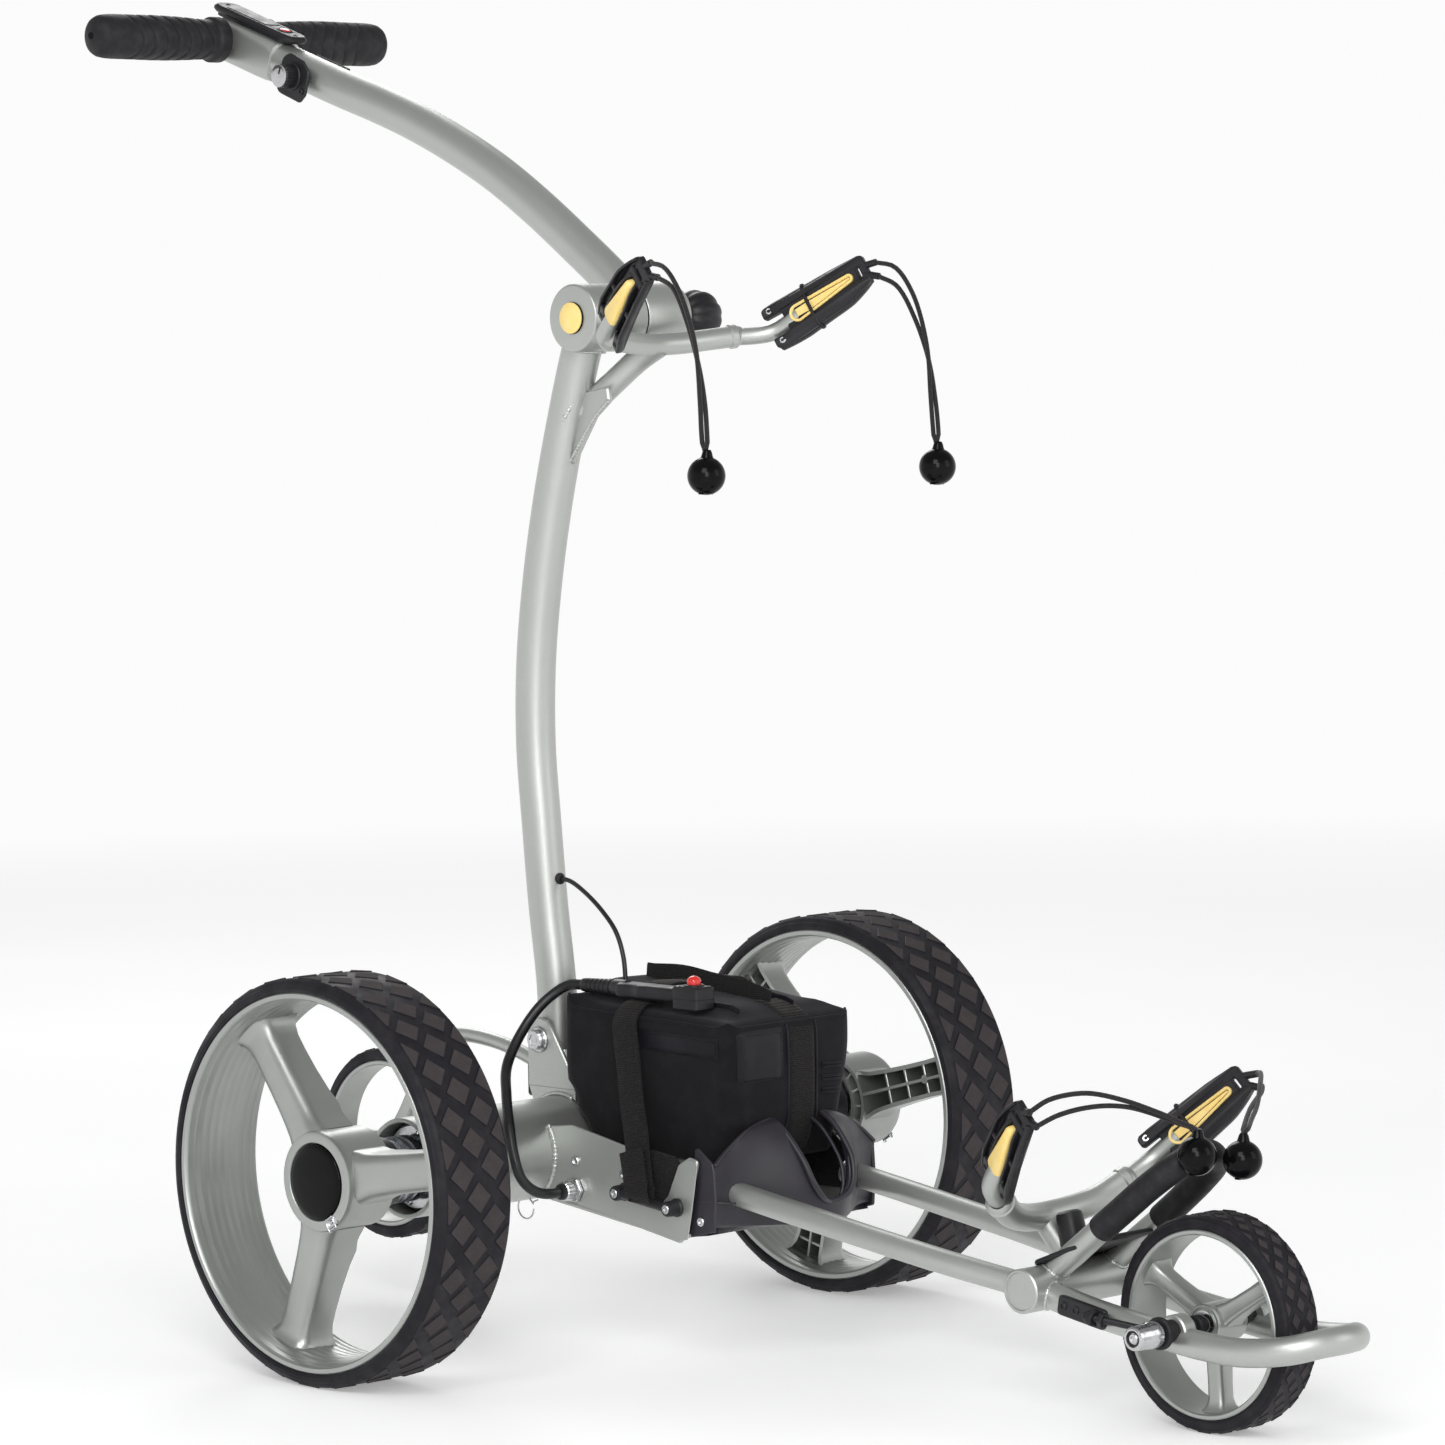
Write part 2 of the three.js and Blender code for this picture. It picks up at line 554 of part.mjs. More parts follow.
// Each cord reaches forward to the bag rest, where its ball sits against the front of the hoop.
const RIGHT_CORD = {
  near: [V(572, -127, 241), V(582, -116, 250), V(599, -96, 254), V(616, -74, 249),
    V(631, -53, 239), V(640, -39, 230), V(645, -29.5, 225), V(645.2, -28, 221.4)],
  far: [V(577, -125, 231), V(588, -113, 239), V(603, -94, 244), V(617, -74, 242),
    V(629, -54, 235), V(638, -40, 229), V(644.6, -30, 224.6), V(645.2, -28, 221.4)],
};
const RIGHT_BALL = V(645.2, -28, 205);
const LEFT_CORD = {
  near: [V(574, 127, 243), V(588, 114, 246), V(606, 92, 243), V(626, 62, 234), V(643, 34, 224),
    V(652.5, 17, 218.4), V(653, 14, 214.6)],
  far: [V(578, 125, 233), V(591, 112, 237), V(608, 91, 236), V(624, 64, 229), V(639, 37, 223),
    V(652, 18, 218), V(653, 14, 214.6)],
};
const LEFT_BALL = V(653, 14, 198);
add("lower_cord_right", strands(RIGHT_CORD.near, RIGHT_CORD.far), FABRIC);
add("lower_ball_right", ball(RIGHT_BALL), BLACK);
add("lower_cord_left", strands(LEFT_CORD.near, LEFT_CORD.far), FABRIC);
add("lower_ball_left", ball(LEFT_BALL), BLACK);

// ---- battery ------------------------------------------------------------------------------
// The bag leans forward with the chassis floor; its corners are rounded.
function roundedBox(x0, x1, z0, z1, r, y0, y1) {
  const shape = new THREE.Shape();
  shape.absarc(x1 - r, z1 - r, r, 0, Math.PI / 2, false);
  shape.absarc(x0 + r, z1 - r, r, Math.PI / 2, Math.PI, false);
  shape.absarc(x0 + r, z0 + r, r, Math.PI, Math.PI * 1.5, false);
  shape.absarc(x1 - r, z0 + r, r, Math.PI * 1.5, Math.PI * 2, false);
  const options = {
    depth: y1 - y0 - 12, bevelEnabled: true, bevelSegments: 2, bevelSize: 5, bevelThickness: 6,
    bevelOffset: -5, curveSegments: 2,
  };
  const g = new THREE.ExtrudeGeometry(shape, options);
  return solid(g, new THREE.Matrix4().makeRotationX(Math.PI / 2).setPosition(0, y1 - 6, 0));
}
const tilt = (shape) => shape
  .translate([-BATTERY.x0, 0, -BATTERY.z0])
  .rotate([0, THREE.MathUtils.radToDeg(BATTERY.tilt), 0])
  .translate([BATTERY.x0, 0, BATTERY.z0]);
const bag = roundedBox(
  BATTERY.x0, BATTERY.x1 - 8, BATTERY.z0, BATTERY.z1, 16, -BATTERY.y, BATTERY.y,
);
const tubeRoom = yRod(0, AXLE_Z, -100, 100, MOTOR_TUBE_R + 1.2, 28);
add("battery_bag", tilt(bag).subtract(tubeRoom), FABRIC);

// A strap over the bag, from the strap bar to the left side plate; it leans as it comes down.
const STRAP = { x0: 86, x1: 111, thick: 2.4, bottom: 141, lean: 0.34 };
const strapTop = BATTERY.z1 + 0.6;
function strapLine(grow) {
  const y = BATTERY.y + 3.5 + grow;
  const half = [
    [CHASSIS_Y + 8 + grow, STRAP.bottom],
    [y, strapTop - 7 + grow],
    [y - 7, strapTop + grow],
  ];
  return [...half.map(([a, z]) => [-a, z]), ...half.reverse()];
}
function strapBand() {
  const outline = [...strapLine(STRAP.thick), ...strapLine(0).reverse()];
  const shape = new THREE.Shape(outline.map(([y, z]) => new THREE.Vector2(y, z)));
  const options = { depth: STRAP.x1 - STRAP.x0, bevelEnabled: false };
  const g = new THREE.ExtrudeGeometry(shape, options);
  const m = new THREE.Matrix4().makeBasis(V(0, 1, 0), V(0, 0, 1), V(1, 0, 0));
  const k = STRAP.lean;
  const shear = new THREE.Matrix4().set(1, 0, -k, k * strapTop, 0, 1, 0, 0, 0, 0, 1, 0, 0, 0, 0, 1);
  return solid(g, shear.multiply(m.setPosition(STRAP.x0, 0, 0)));
}
add("battery_strap", strapBand(), FABRIC);

// The plug lies on the bag's near top edge with the reset switch block at its front.
const PLUG = { y: -53, z: 289.5 };
const X = V(1, 0, 0);
const Z = V(0, 0, 1);
const plugAt = (x, h = 0) => V(x, PLUG.y, PLUG.z + h);
const plugBody = join(
  rod(plugAt(34), plugAt(82), 5.5, 7, 12),
  plate(plugAt(96, -0.5), X, Z, 32, 13, 22),
  plate(plugAt(127, -0.5), X, Z, 34, 12, 18),
  plate(plugAt(157, -2), X, Z, 28, 19, 21),
);
const BUTTON_X = 158;
const blockTop = 7.5;
const buttonBore = rod(plugAt(BUTTON_X, blockTop - 9), plugAt(BUTTON_X, blockTop + 1), 6.4, 6.4, 14);
add("battery_plug", plugBody.subtract(buttonBore), BLACK);
const button = join(
  rod(plugAt(BUTTON_X, blockTop - 6), plugAt(BUTTON_X, blockTop + 1), 5.8, 5.8, 14),
  solid(new THREE.SphereGeometry(6, 10, 6), onPoint(plugAt(BUTTON_X, blockTop + 2.5))),
);
add("reset_button", button, RED);

// The thick lead: plug, round in front of the motor tube, to the chassis connector.
const LEAD = [
  V(32.4, PLUG.y, PLUG.z), V(18, -56, 288), V(4, -70, 274), V(-2, -88, 252), V(2, -108, 228),
  V(20, -126, 208), V(38, -140, 186), V(48, -145, 164), V(53, -142, 146), V(58, -133, 136),
  V(62, -122, 133), V(62, -108.5, 133),
];
add("battery_lead", tube(LEAD, LEAD_R, { sides: 8, steps: 22 }), BLACK);

// The thin lead: from a grommet in the mast to the plug end of the bag.
const THIN_LEAD = [
  V(-18.2, MAST_Y, 369), V(-8, MAST_Y, 368), V(10, -29, 361), V(34, -32, 347), V(52, -34, 331),
  V(62, -36, 312), V(65, -37, 292), V(65.5, -37.5, 283),
];
add("speed_lead", tube(THIN_LEAD, THIN_LEAD_R, { sides: 8, steps: 12 }), BLACK);

// ---- lower mast and its cradle ------------------------------------------------------------
const MAST_LINE = [
  [-24, 232], [-25, 282], [-33, 347], [-39, 412], [-44, 477], [-42, 542], [-33, 607],
  [-19, 672], [-1, 736], [16, 788], [24, 808],
];
const FOLD_SIDES = 24;
const foldBore = yRod(FOLD.x, FOLD.z, -70, 110, 5.4, 12);
const mastPoints = MAST_LINE.map(([x, z]) => V(x, MAST_Y, z));
const mastTube = tube(mastPoints, MAST_R, { steps: 14 });
const foldRight = yRod(FOLD.x, FOLD.z, FOLD.y0, FOLD.seam - GAP, FOLD.r, FOLD_SIDES);
const footBore = yRod(MAST_FOOT.x, MAST_FOOT.z, -60, 10, 5.4, 12);
const mastHollow = tube([V(-24, MAST_Y, 230), ...mastPoints.slice(1)], MAST_BORE, { steps: 8, sides: 10 });
add("mast_tube", cut(join(mastTube, foldRight), mastHollow, foldBore, footBore), SILVER);

const upperWide = [[92, 68, 800.5], [85, 50, 798.5], [79, 26, 796], [76, 4, 795]];
const upperCradle = cradle(upperWide, UPPER_PAD, UPPER_LEAD);
const strut = tube([V(12, -22, 742), V(34, -14, 762), V(58, -3, 784), V(78, 0, 795)], 10, {
  steps: 6,
});
const mastRoom = tube(mastPoints, MAST_R + 0.4, { steps: 14 });
add("upper_cradle", cut(join(upperCradle, strut), mastRoom), SILVER);

// ---- upper handle -------------------------------------------------------------------------
const HANDLE_LINE = [
  [24, 826], [-14, 855], [-42, 875], [-87, 906], [-134, 935], [-181, 959], [-229, 980],
  [-278, 998], [-327, 1014], [-390, 1036], [-452, 1058],
];
const handlePoints = HANDLE_LINE.map(([x, z]) => V(x, HANDLE_Y, z));
const handleTube = tube(handlePoints, MAST_R, { steps: 16 });
const foldLeft = yRod(FOLD.x, FOLD.z, FOLD.seam + GAP, FOLD.y1, FOLD.r, FOLD_SIDES);
const crossbar = yRod(BAR.x, BAR.z, HANDLE_Y - BAR.half + 6, HANDLE_Y + BAR.half - 6, BAR.r, 16);
const along = V(0.943, 0, -0.333).normalize(); // along the tube's rear end, forwards
const above = V(0.333, 0, 0.943).normalize();
const HEAD = V(-425, HANDLE_Y, 1066);
const headAt = (a, h) => HEAD.clone().addScaledVector(along, a).addScaledVector(above, h);
const head = plate(headAt(-12, -18), along, above, 76, 36, 34);
const hollowPoints = [V(FOLD.x - 1, HANDLE_Y, FOLD.z + 1), ...handlePoints.slice(1, -1)];
const handleHollow = tube(hollowPoints, MAST_BORE, { steps: 9, sides: 10 });
const handleShape = join(handleTube, foldLeft, crossbar, head);
add("handle_tube", cut(handleShape, handleHollow, foldBore), SILVER);

bothSides((word, s) => {
  const at = (h) => V(BAR.x, HANDLE_Y + s * h, BAR.z);
  const body = join(
    rod(at(GRIP_INNER), at(BAR.half - 14), GRIP_R, GRIP_R, 16),
    rod(at(BAR.half - 14), at(BAR.half), GRIP_R, GRIP_R - 9, 16),
  );
  const bore = rod(at(GRIP_INNER - 1), at(BAR.half - 5), BAR.r + GAP, BAR.r + GAP, 16);
  add("grip_" + word, body.subtract(bore), RUBBER);
});

// Console on top of the head, with the power button; the dial's bracket clasps the tube.
const consoleBody = plate(headAt(-6, 8), along, above, 114, 16, 38);
const bracket = plate(headAt(72, -17), along, above, 52, 46, 44);
const handleRoom = tube(handlePoints, MAST_R + 0.5, { steps: 16 });
const headRoom = plate(headAt(-12, -18), along, above, 77, 36.8, 35);
const barRoom = yRod(BAR.x, BAR.z, -160, 220, GRIP_R + 0.6, 20);
const POWER_A = 26; // the power button's place along the console
const DIAL_A = 71; // the speed dial's place along the tube
const DIAL_H = -18.3;
const dialCentre = headAt(DIAL_A, DIAL_H);
const atY = (p, y) => p.clone().setY(y);
const spindleBore = rod(atY(dialCentre, HANDLE_Y - 24), atY(dialCentre, HANDLE_Y - 18), 3.4, 3.4, 12);
const powerBore = rod(headAt(POWER_A, 9), headAt(POWER_A, 20), 6.4, 6.4, 14);
const consoleShape = cut(
  join(consoleBody, bracket),
  handleRoom,
  headRoom,
  barRoom,
  powerBore,
  spindleBore,
);
add("console", consoleShape, BLACK);
add("power_button", rod(headAt(POWER_A, 11.4), headAt(POWER_A, 17.6), 5.9, 5.6, 14), RED);
const dialY = HANDLE_Y - 22.6;
add(
  "speed_dial",
  join(
    rod(atY(dialCentre, dialY - 15), atY(dialCentre, dialY), 9, 10, 18),
    rod(atY(dialCentre, dialY - 1), atY(dialCentre, HANDLE_Y - 18.6), 3, 3, 12),
  ),
  BLACK,
);

// The clamp bolt runs through both halves of the fold joint into the lock knob.
const knobY = FOLD.y1 + 1;
add(
  "lock_knob",
  join(
    yRod(FOLD.x, FOLD.z, FOLD.y0 - 3.4, knobY + 10, 5, 12),
    yRod(FOLD.x, FOLD.z, FOLD.y0 - 3.4, FOLD.y0 - 0.4, 12.3, 20),
    yRod(FOLD.x, FOLD.z, knobY, knobY + 12, 12, 16),
    yRod(FOLD.x, FOLD.z, knobY + 10, knobY + 50, 21.5, 12),
  ),
  BLACK,
);

export default trolley;
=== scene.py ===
"""The electric golf trolley's looks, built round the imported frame.

Every piece is made in millimetres from the rear axle (+X forward, +Y left, +Z up, z = 0 on the
ground) and is put into the row frame, in metres, by place().
"""

import math

import bmesh
import bpy
from mathutils import Matrix, Vector, geometry


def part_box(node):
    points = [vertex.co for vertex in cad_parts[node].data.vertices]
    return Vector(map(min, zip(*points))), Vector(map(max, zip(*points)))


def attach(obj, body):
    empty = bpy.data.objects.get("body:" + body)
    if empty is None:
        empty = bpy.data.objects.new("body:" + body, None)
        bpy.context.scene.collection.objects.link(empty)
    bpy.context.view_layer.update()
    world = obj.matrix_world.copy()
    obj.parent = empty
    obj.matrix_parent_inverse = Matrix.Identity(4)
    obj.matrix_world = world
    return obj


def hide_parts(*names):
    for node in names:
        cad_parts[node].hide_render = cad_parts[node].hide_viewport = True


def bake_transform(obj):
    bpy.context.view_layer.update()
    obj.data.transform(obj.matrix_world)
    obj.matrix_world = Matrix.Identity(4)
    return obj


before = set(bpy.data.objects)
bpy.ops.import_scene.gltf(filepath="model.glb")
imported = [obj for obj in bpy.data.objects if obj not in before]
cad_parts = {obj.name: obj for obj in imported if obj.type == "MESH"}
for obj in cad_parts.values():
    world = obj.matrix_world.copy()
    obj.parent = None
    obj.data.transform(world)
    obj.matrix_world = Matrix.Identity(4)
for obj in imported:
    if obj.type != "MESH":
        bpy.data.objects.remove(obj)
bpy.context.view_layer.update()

tyre_low, tyre_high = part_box("rear_tyre_right")
REAR_AXLE_X = (tyre_low.x + tyre_high.x) / 2  # metres, in the row frame
SIDES = {"right": -1, "left": 1}

# ---- driving dimensions, in millimetres ----------------------------------------------------
AHEAD, LEFT, UP = (1, 0, 0), (0, 1, 0), (0, 0, 1)
AXLE_Z = 158.5
WHEEL_Y = 284
HUB_FACE = 24.75  # outward of the wheel's middle plane
CATCH_ANGLE = math.radians(-58)
SMALL_R = 80
FRONT_X = 640
ANTITIP = (-252, 133)
CHASSIS_Y = 92
MAST_R = 16
MAST_Y = -27
HANDLE_Y = 29
FOLD = (35, 817)
FOLD_AT = (FOLD[0], 0, FOLD[1])
FOLD_R = 27
BAR = (-458, 1060)
CORD_R = 1.9
FRAME_TUBE_R = 9.4
CROSS_R = 16.7
LOOP_R = 10.5
LEG_R = 9.6
TUBE_OUTER = 39.4
CAMERA_TURN = (44.91, 3.86, -0.94)  # azimuth, elevation and roll, in degrees
CAMERA_EYE = (3280.34, -3149.03, 798.68)
PHOTO_SIDE = 1445  # pixels
FOCAL = 5683.87  # pixels
LEAD_R = 4.2
BALL_R = 14.5


def place(p):
    """A point in millimetres from the rear axle, as metres in the row frame."""
    return Vector((REAR_AXLE_X + p[0] / 1000, p[1] / 1000, p[2] / 1000))


# ---- camera, floor and light ---------------------------------------------------------------
def add_camera():
    azimuth, elevation, roll = (math.radians(v) for v in CAMERA_TURN)
    back = Vector((
        math.sin(azimuth) * math.cos(elevation),
        -math.cos(azimuth) * math.cos(elevation),
        math.sin(elevation),
    ))
    right = Vector(UP).cross(back).normalized()
    up = back.cross(right)
    x = right * math.cos(roll) + up * math.sin(roll)
    y = up * math.cos(roll) - right * math.sin(roll)
    data = bpy.data.cameras.new("camera")
    data.sensor_width = 36
    data.lens = FOCAL / PHOTO_SIDE * data.sensor_width
    data.clip_end = 100
    camera = bpy.data.objects.new("camera", data)
    bpy.context.collection.objects.link(camera)
    matrix = Matrix((x, y, back)).transposed().to_4x4()
    matrix.translation = place(CAMERA_EYE)
    camera.matrix_world = matrix
    bpy.context.scene.camera = camera


def add_area(name, where, target, size, power):
    data = bpy.data.lights.new(name, "AREA")
    data.shape = "RECTANGLE"
    data.size, data.size_y = size
    data.energy = power
    lamp = bpy.data.objects.new(name, data)
    bpy.context.collection.objects.link(lamp)
    lamp.location = where
    lamp.rotation_euler = (Vector(target) - Vector(where)).to_track_quat("-Z", "Y").to_euler()


# ---- materials -----------------------------------------------------------------------------
class Paint:
    """A Principled material with helpers for its procedural detail."""

    def __init__(self, name, colour, rough, metal=0.0, **sockets):
        self.material = bpy.data.materials.new(name)
        self.material.use_nodes = True
        self.tree = self.material.node_tree
        self.shader = self.tree.nodes["Principled BSDF"]
        self.put(self.shader, "Base Color", (*colour, 1))
        self.put(self.shader, "Roughness", rough)
        self.put(self.shader, "Metallic", metal)
        for key, value in sockets.items():
            self.put(self.shader, key.replace("_", " "), value)
        self.place = self.node("ShaderNodeTexCoord").outputs["Object"]
        self.height = None
        self.colour = colour

    def put(self, node, key, value):
        socket = node.inputs[key]
        if isinstance(value, bpy.types.NodeSocket):
            self.tree.links.new(value, socket)
        else:
            socket.default_value = value

    def node(self, kind, inputs=(), **settings):
        made = self.tree.nodes.new(kind)
        for key, value in settings.items():
            setattr(made, key, value)
        for key, value in dict(inputs).items():
            self.put(made, key, value)
        return made

    def stretched(self, scale, turn=(0, 0, 0)):
        return self.node(
            "ShaderNodeMapping", {"Vector": self.place, "Scale": scale, "Rotation": turn}
        ).outputs["Vector"]

    def noise(self, scale, detail=3.0, rough=0.5, where=None):
        inputs = {"Vector": where or self.place, "Scale": scale, "Detail": detail}
        made = self.node("ShaderNodeTexNoise", inputs)
        made.inputs["Roughness"].default_value = rough
        return made.outputs["Fac"]

    def voronoi(self, scale):
        inputs = {"Vector": self.place, "Scale": scale}
        return self.node("ShaderNodeTexVoronoi", inputs).outputs["Distance"]

    def texture(self, made_of):
        """Noise or cells from their sizes, or what a function makes on this paint."""
        if callable(made_of):
            return made_of(self)
        return self.noise(*made_of) if len(made_of) > 1 else self.voronoi(*made_of)

    def wave(self, scale, direction="X", distortion=0.0, where=None):
        inputs = {"Vector": where or self.place, "Scale": scale, "Distortion": distortion}
        return self.node("ShaderNodeTexWave", inputs, bands_direction=direction).outputs["Fac"]

    def ranged(self, value, low, high, to_low, to_high):
        keys = ("Value", "From Min", "From Max", "To Min", "To Max")
        inputs = dict(zip(keys, (value, low, high, to_low, to_high)))
        return self.node("ShaderNodeMapRange", inputs).outputs["Result"]

    def sum(self, a, b, operation="ADD"):
        made = self.node("ShaderNodeMath", operation=operation)
        self.put(made, 0, a)
        self.put(made, 1, b)
        return made.outputs[0]

    def tint(self, factor, other, low=0.35, high=0.7, amount=1.0):
        """Mixes another colour in where factor runs from low to high."""
        made = self.node("ShaderNodeMix", data_type="RGBA")
        self.put(made, 0, self.ranged(factor, low, high, 0.0, amount))
        links = self.shader.inputs["Base Color"].links
        self.put(made, 6, links[0].from_socket if links else (*self.colour, 1))
        self.put(made, 7, (*other, 1))
        self.put(self.shader, "Base Color", made.outputs[2])

    def vary_rough(self, factor, low, high):
        self.put(self.shader, "Roughness", self.ranged(factor, 0.3, 0.7, low, high))

    def bump(self, height, distance, strength=1.0):
        inputs = {"Height": height, "Distance": distance, "Strength": strength}
        made = self.node("ShaderNodeBump", inputs)
        if self.height is not None:
            self.put(made, "Normal", self.height)
        self.height = made.outputs["Normal"]
        self.put(self.shader, "Normal", self.height)


def coat(name, colour, rough, metal=0.0, tints=(), gloss=None, bumps=(), **sockets):
    """A material with layered tints, a range of roughness and bumps.

    Each starts with its texture: (scale, detail) or (scale, detail, roughness) for noise, (scale,)
    for cells, or a function that makes one.
    """
    p = Paint(name, colour, rough, metal, **sockets)
    for texture, *mixed in tints:
        p.tint(p.texture(texture), *mixed)
    if gloss:
        p.vary_rough(p.texture(gloss[0]), *gloss[1:])
    for texture, *depth in bumps:
        p.bump(p.texture(texture), *depth)
    return p.material


def sparkle(p):
    return p.sum(p.noise(60, 4), p.noise(2600, 2), "MULTIPLY")


def brushed(scale, detail, stretch):
    return lambda p: p.noise(scale, detail, where=p.stretched((1, stretch, 1)))


def weave(p):
    return p.sum(p.wave(420, "DIAGONAL"), p.wave(420, "Z"), "MULTIPLY")


def ribs(p):
    return p.wave(190, "Z", 1.2)


def braid(p):
    turns = [p.stretched((1, 1, 1), (0, k * 0.8, k * 0.6)) for k in (1, -1)]
    return p.sum(*(p.wave(300, where=turn) for turn in turns), "MULTIPLY")


SILVER = coat(
    "silver_paint", (0.46, 0.475, 0.455), 0.36, 0.8,
    [((2600, 2), (0.60, 0.61, 0.59), 0.52, 0.72, 0.55), ((14, 3), (0.42, 0.435, 0.415), 0.4, 0.75, 0.35)],
    (sparkle, 0.42, 0.3), [((2600, 2), 0.00006, 0.5), ((160, 2), 0.00012, 0.35)],
    Coat_Weight=0.2, Coat_Roughness=0.22)
WHEEL = coat(
    "silver_wheel", (0.40, 0.415, 0.40), 0.37, 0.8,
    [((2200, 2), (0.52, 0.53, 0.515), 0.5, 0.75, 0.4), ((22, 4), (0.35, 0.365, 0.35), 0.42, 0.7, 0.4)],
    ((45, 4), 0.44, 0.3), [((2200, 2), 0.00005, 0.4), ((90, 3), 0.0002, 0.35)],
    Coat_Weight=0.12, Coat_Roughness=0.3)
STEEL = coat(
    "bright_steel", (0.56, 0.56, 0.57), 0.2, 1.0, [((35, 4), (0.38, 0.39, 0.41), 0.5, 0.8, 0.5)],
    ((300, 4), 0.3, 0.14), [((900, 3), 0.00003, 0.4)])
MACHINED = coat(
    "machined_steel", (0.45, 0.47, 0.5), 0.26, 1.0, [((25, 3), (0.3, 0.33, 0.38), 0.45, 0.7, 0.7)],
    (brushed(220, 4, 8), 0.36, 0.18), [(brushed(600, 2, 10), 0.00004, 0.5)])
BLACK = coat(
    "black_plastic", (0.0095, 0.009, 0.011), 0.42, 0, [((30, 4), (0.017, 0.016, 0.019), 0.45, 0.75)],
    ((80, 4), 0.5, 0.34), [((1500,), 0.00005, 0.4)], Specular_IOR_Level=0.38)
TRAY = coat(
    "tray_plastic", (0.017, 0.015, 0.021), 0.38, 0, [((18, 5), (0.028, 0.025, 0.033), 0.45, 0.75)],
    ((40, 5), 0.48, 0.32), [((1300, 2), 0.00006, 0.4), ((50, 4), 0.0002, 0.25)], Specular_IOR_Level=0.48)
GLOSS = coat(
    "gloss_black", (0.003, 0.003, 0.0035), 0.12, 0, [((60, 4), (0.006, 0.006, 0.007), 0.5, 0.8)],
    ((120, 5), 0.22, 0.1), [((240, 2), 0.00004, 0.2)], Specular_IOR_Level=0.12)
TYRE = coat(
    "tyre_rubber", (0.0095, 0.0085, 0.012), 0.55, 0,
    [((70, 5, 0.6), (0.017, 0.0155, 0.019), 0.45, 0.72)],
    ((35, 4), 0.7, 0.46), [((900, 4), 0.00012, 0.45)], Specular_IOR_Level=0.22)
TREAD = coat(
    "tread_rubber", (0.042, 0.036, 0.037), 0.86, 0,
    [((90, 5, 0.65), (0.052, 0.043, 0.044), 0.45, 0.7), ((420,), (0.2, 0.18, 0.165), 0.085, 0.05, 0.6)],
    None, [((1100, 5, 0.7), 0.0002, 0.8)], Specular_IOR_Level=0.25)
NEOPRENE = coat(
    "neoprene", (0.0052, 0.0048, 0.006), 0.9, 0,
    [((55, 5, 0.6), (0.010, 0.0095, 0.011), 0.45, 0.75), ((700,), (0.05, 0.048, 0.05), 0.06, 0.03, 0.5)],
    None, [(weave, 0.00008, 0.5), ((24, 4), 0.0012, 0.45)],
    Specular_IOR_Level=0.18, Sheen_Weight=0.12, Sheen_Roughness=0.5, Sheen_Tint=(0.6, 0.58, 0.62, 1))
VINYL = coat(
    "bag_vinyl", (0.008, 0.0078, 0.011), 0.42, 0, [((40, 4), (0.016, 0.0155, 0.021), 0.45, 0.75)],
    ((70, 4), 0.52, 0.36), [((900,), 0.00008, 0.4)], Specular_IOR_Level=0.22)
WEBBING = coat(
    "webbing", (0.008, 0.0076, 0.008), 0.95, 0,
    [((650, 5, 0.7), (0.05, 0.046, 0.043), 0.5, 0.74, 0.8), (ribs, (0.022, 0.021, 0.021), 0.4, 0.9)],
    None, [(ribs, 0.0003, 0.6), ((900, 5, 0.8), 0.0004, 0.8)],
    Specular_IOR_Level=0.12, Sheen_Weight=0.2, Sheen_Roughness=0.4, Sheen_Tint=(0.55, 0.52, 0.5, 1))
ELASTIC = coat(
    "elastic", (0.011, 0.010, 0.0105), 0.75, 0, [(braid, (0.032, 0.028, 0.027), 0.35, 0.8)],
    None, [(braid, 0.0003, 0.8)], Specular_IOR_Level=0.25, Sheen_Weight=0.2)
CABLE = coat(
    "cable", (0.007, 0.0068, 0.0085), 0.34, 0, [((60, 4), (0.012, 0.012, 0.0145), 0.45, 0.75)],
    ((150, 4), 0.42, 0.26), [((500, 3), 0.00008, 0.4)], Specular_IOR_Level=0.45)
GRIP = coat(
    "grip_rubber", (0.0105, 0.0095, 0.0115), 0.62, 0,
    [((120, 5, 0.6), (0.021, 0.019, 0.0215), 0.45, 0.75)],
    ((60, 4), 0.72, 0.5), [((1400, 4, 0.7), 0.0001, 0.7)], Specular_IOR_Level=0.32)
YELLOW = coat(
    "yellow_plastic", (0.90, 0.65, 0.21), 0.38, 0, [((80, 4), (0.95, 0.73, 0.30), 0.45, 0.75, 0.7)],
    ((100, 4), 0.46, 0.3), [((900, 2), 0.00004, 0.3)], Specular_IOR_Level=0.5, Subsurface_Weight=0.04)
RED = coat(
    "red_plastic", (0.62, 0.012, 0.012), 0.16, 0, [((220, 3), (0.75, 0.05, 0.03), 0.5, 0.8, 0.6)],
    ((150, 4), 0.22, 0.12), Coat_Weight=0.5, Coat_Roughness=0.05)
WELD = coat(
    "weld_metal", (0.54, 0.55, 0.535), 0.3, 0.8, [((260, 4), (0.5, 0.51, 0.5), 0.45, 0.7, 0.6)],
    ((260, 4), 0.42, 0.22), [((420, 4), 0.0003, 0.6)])
# Near-black, nearly unreflecting fill for the insides of holes and recesses: painted shade.
RECESS_SHADE = coat(
    "painted_recess_shade", (0.006, 0.006, 0.007), 0.85, 0, [((90, 3), (0.012, 0.012, 0.013), 0.45, 0.7)],
    Specular_IOR_Level=0.1)


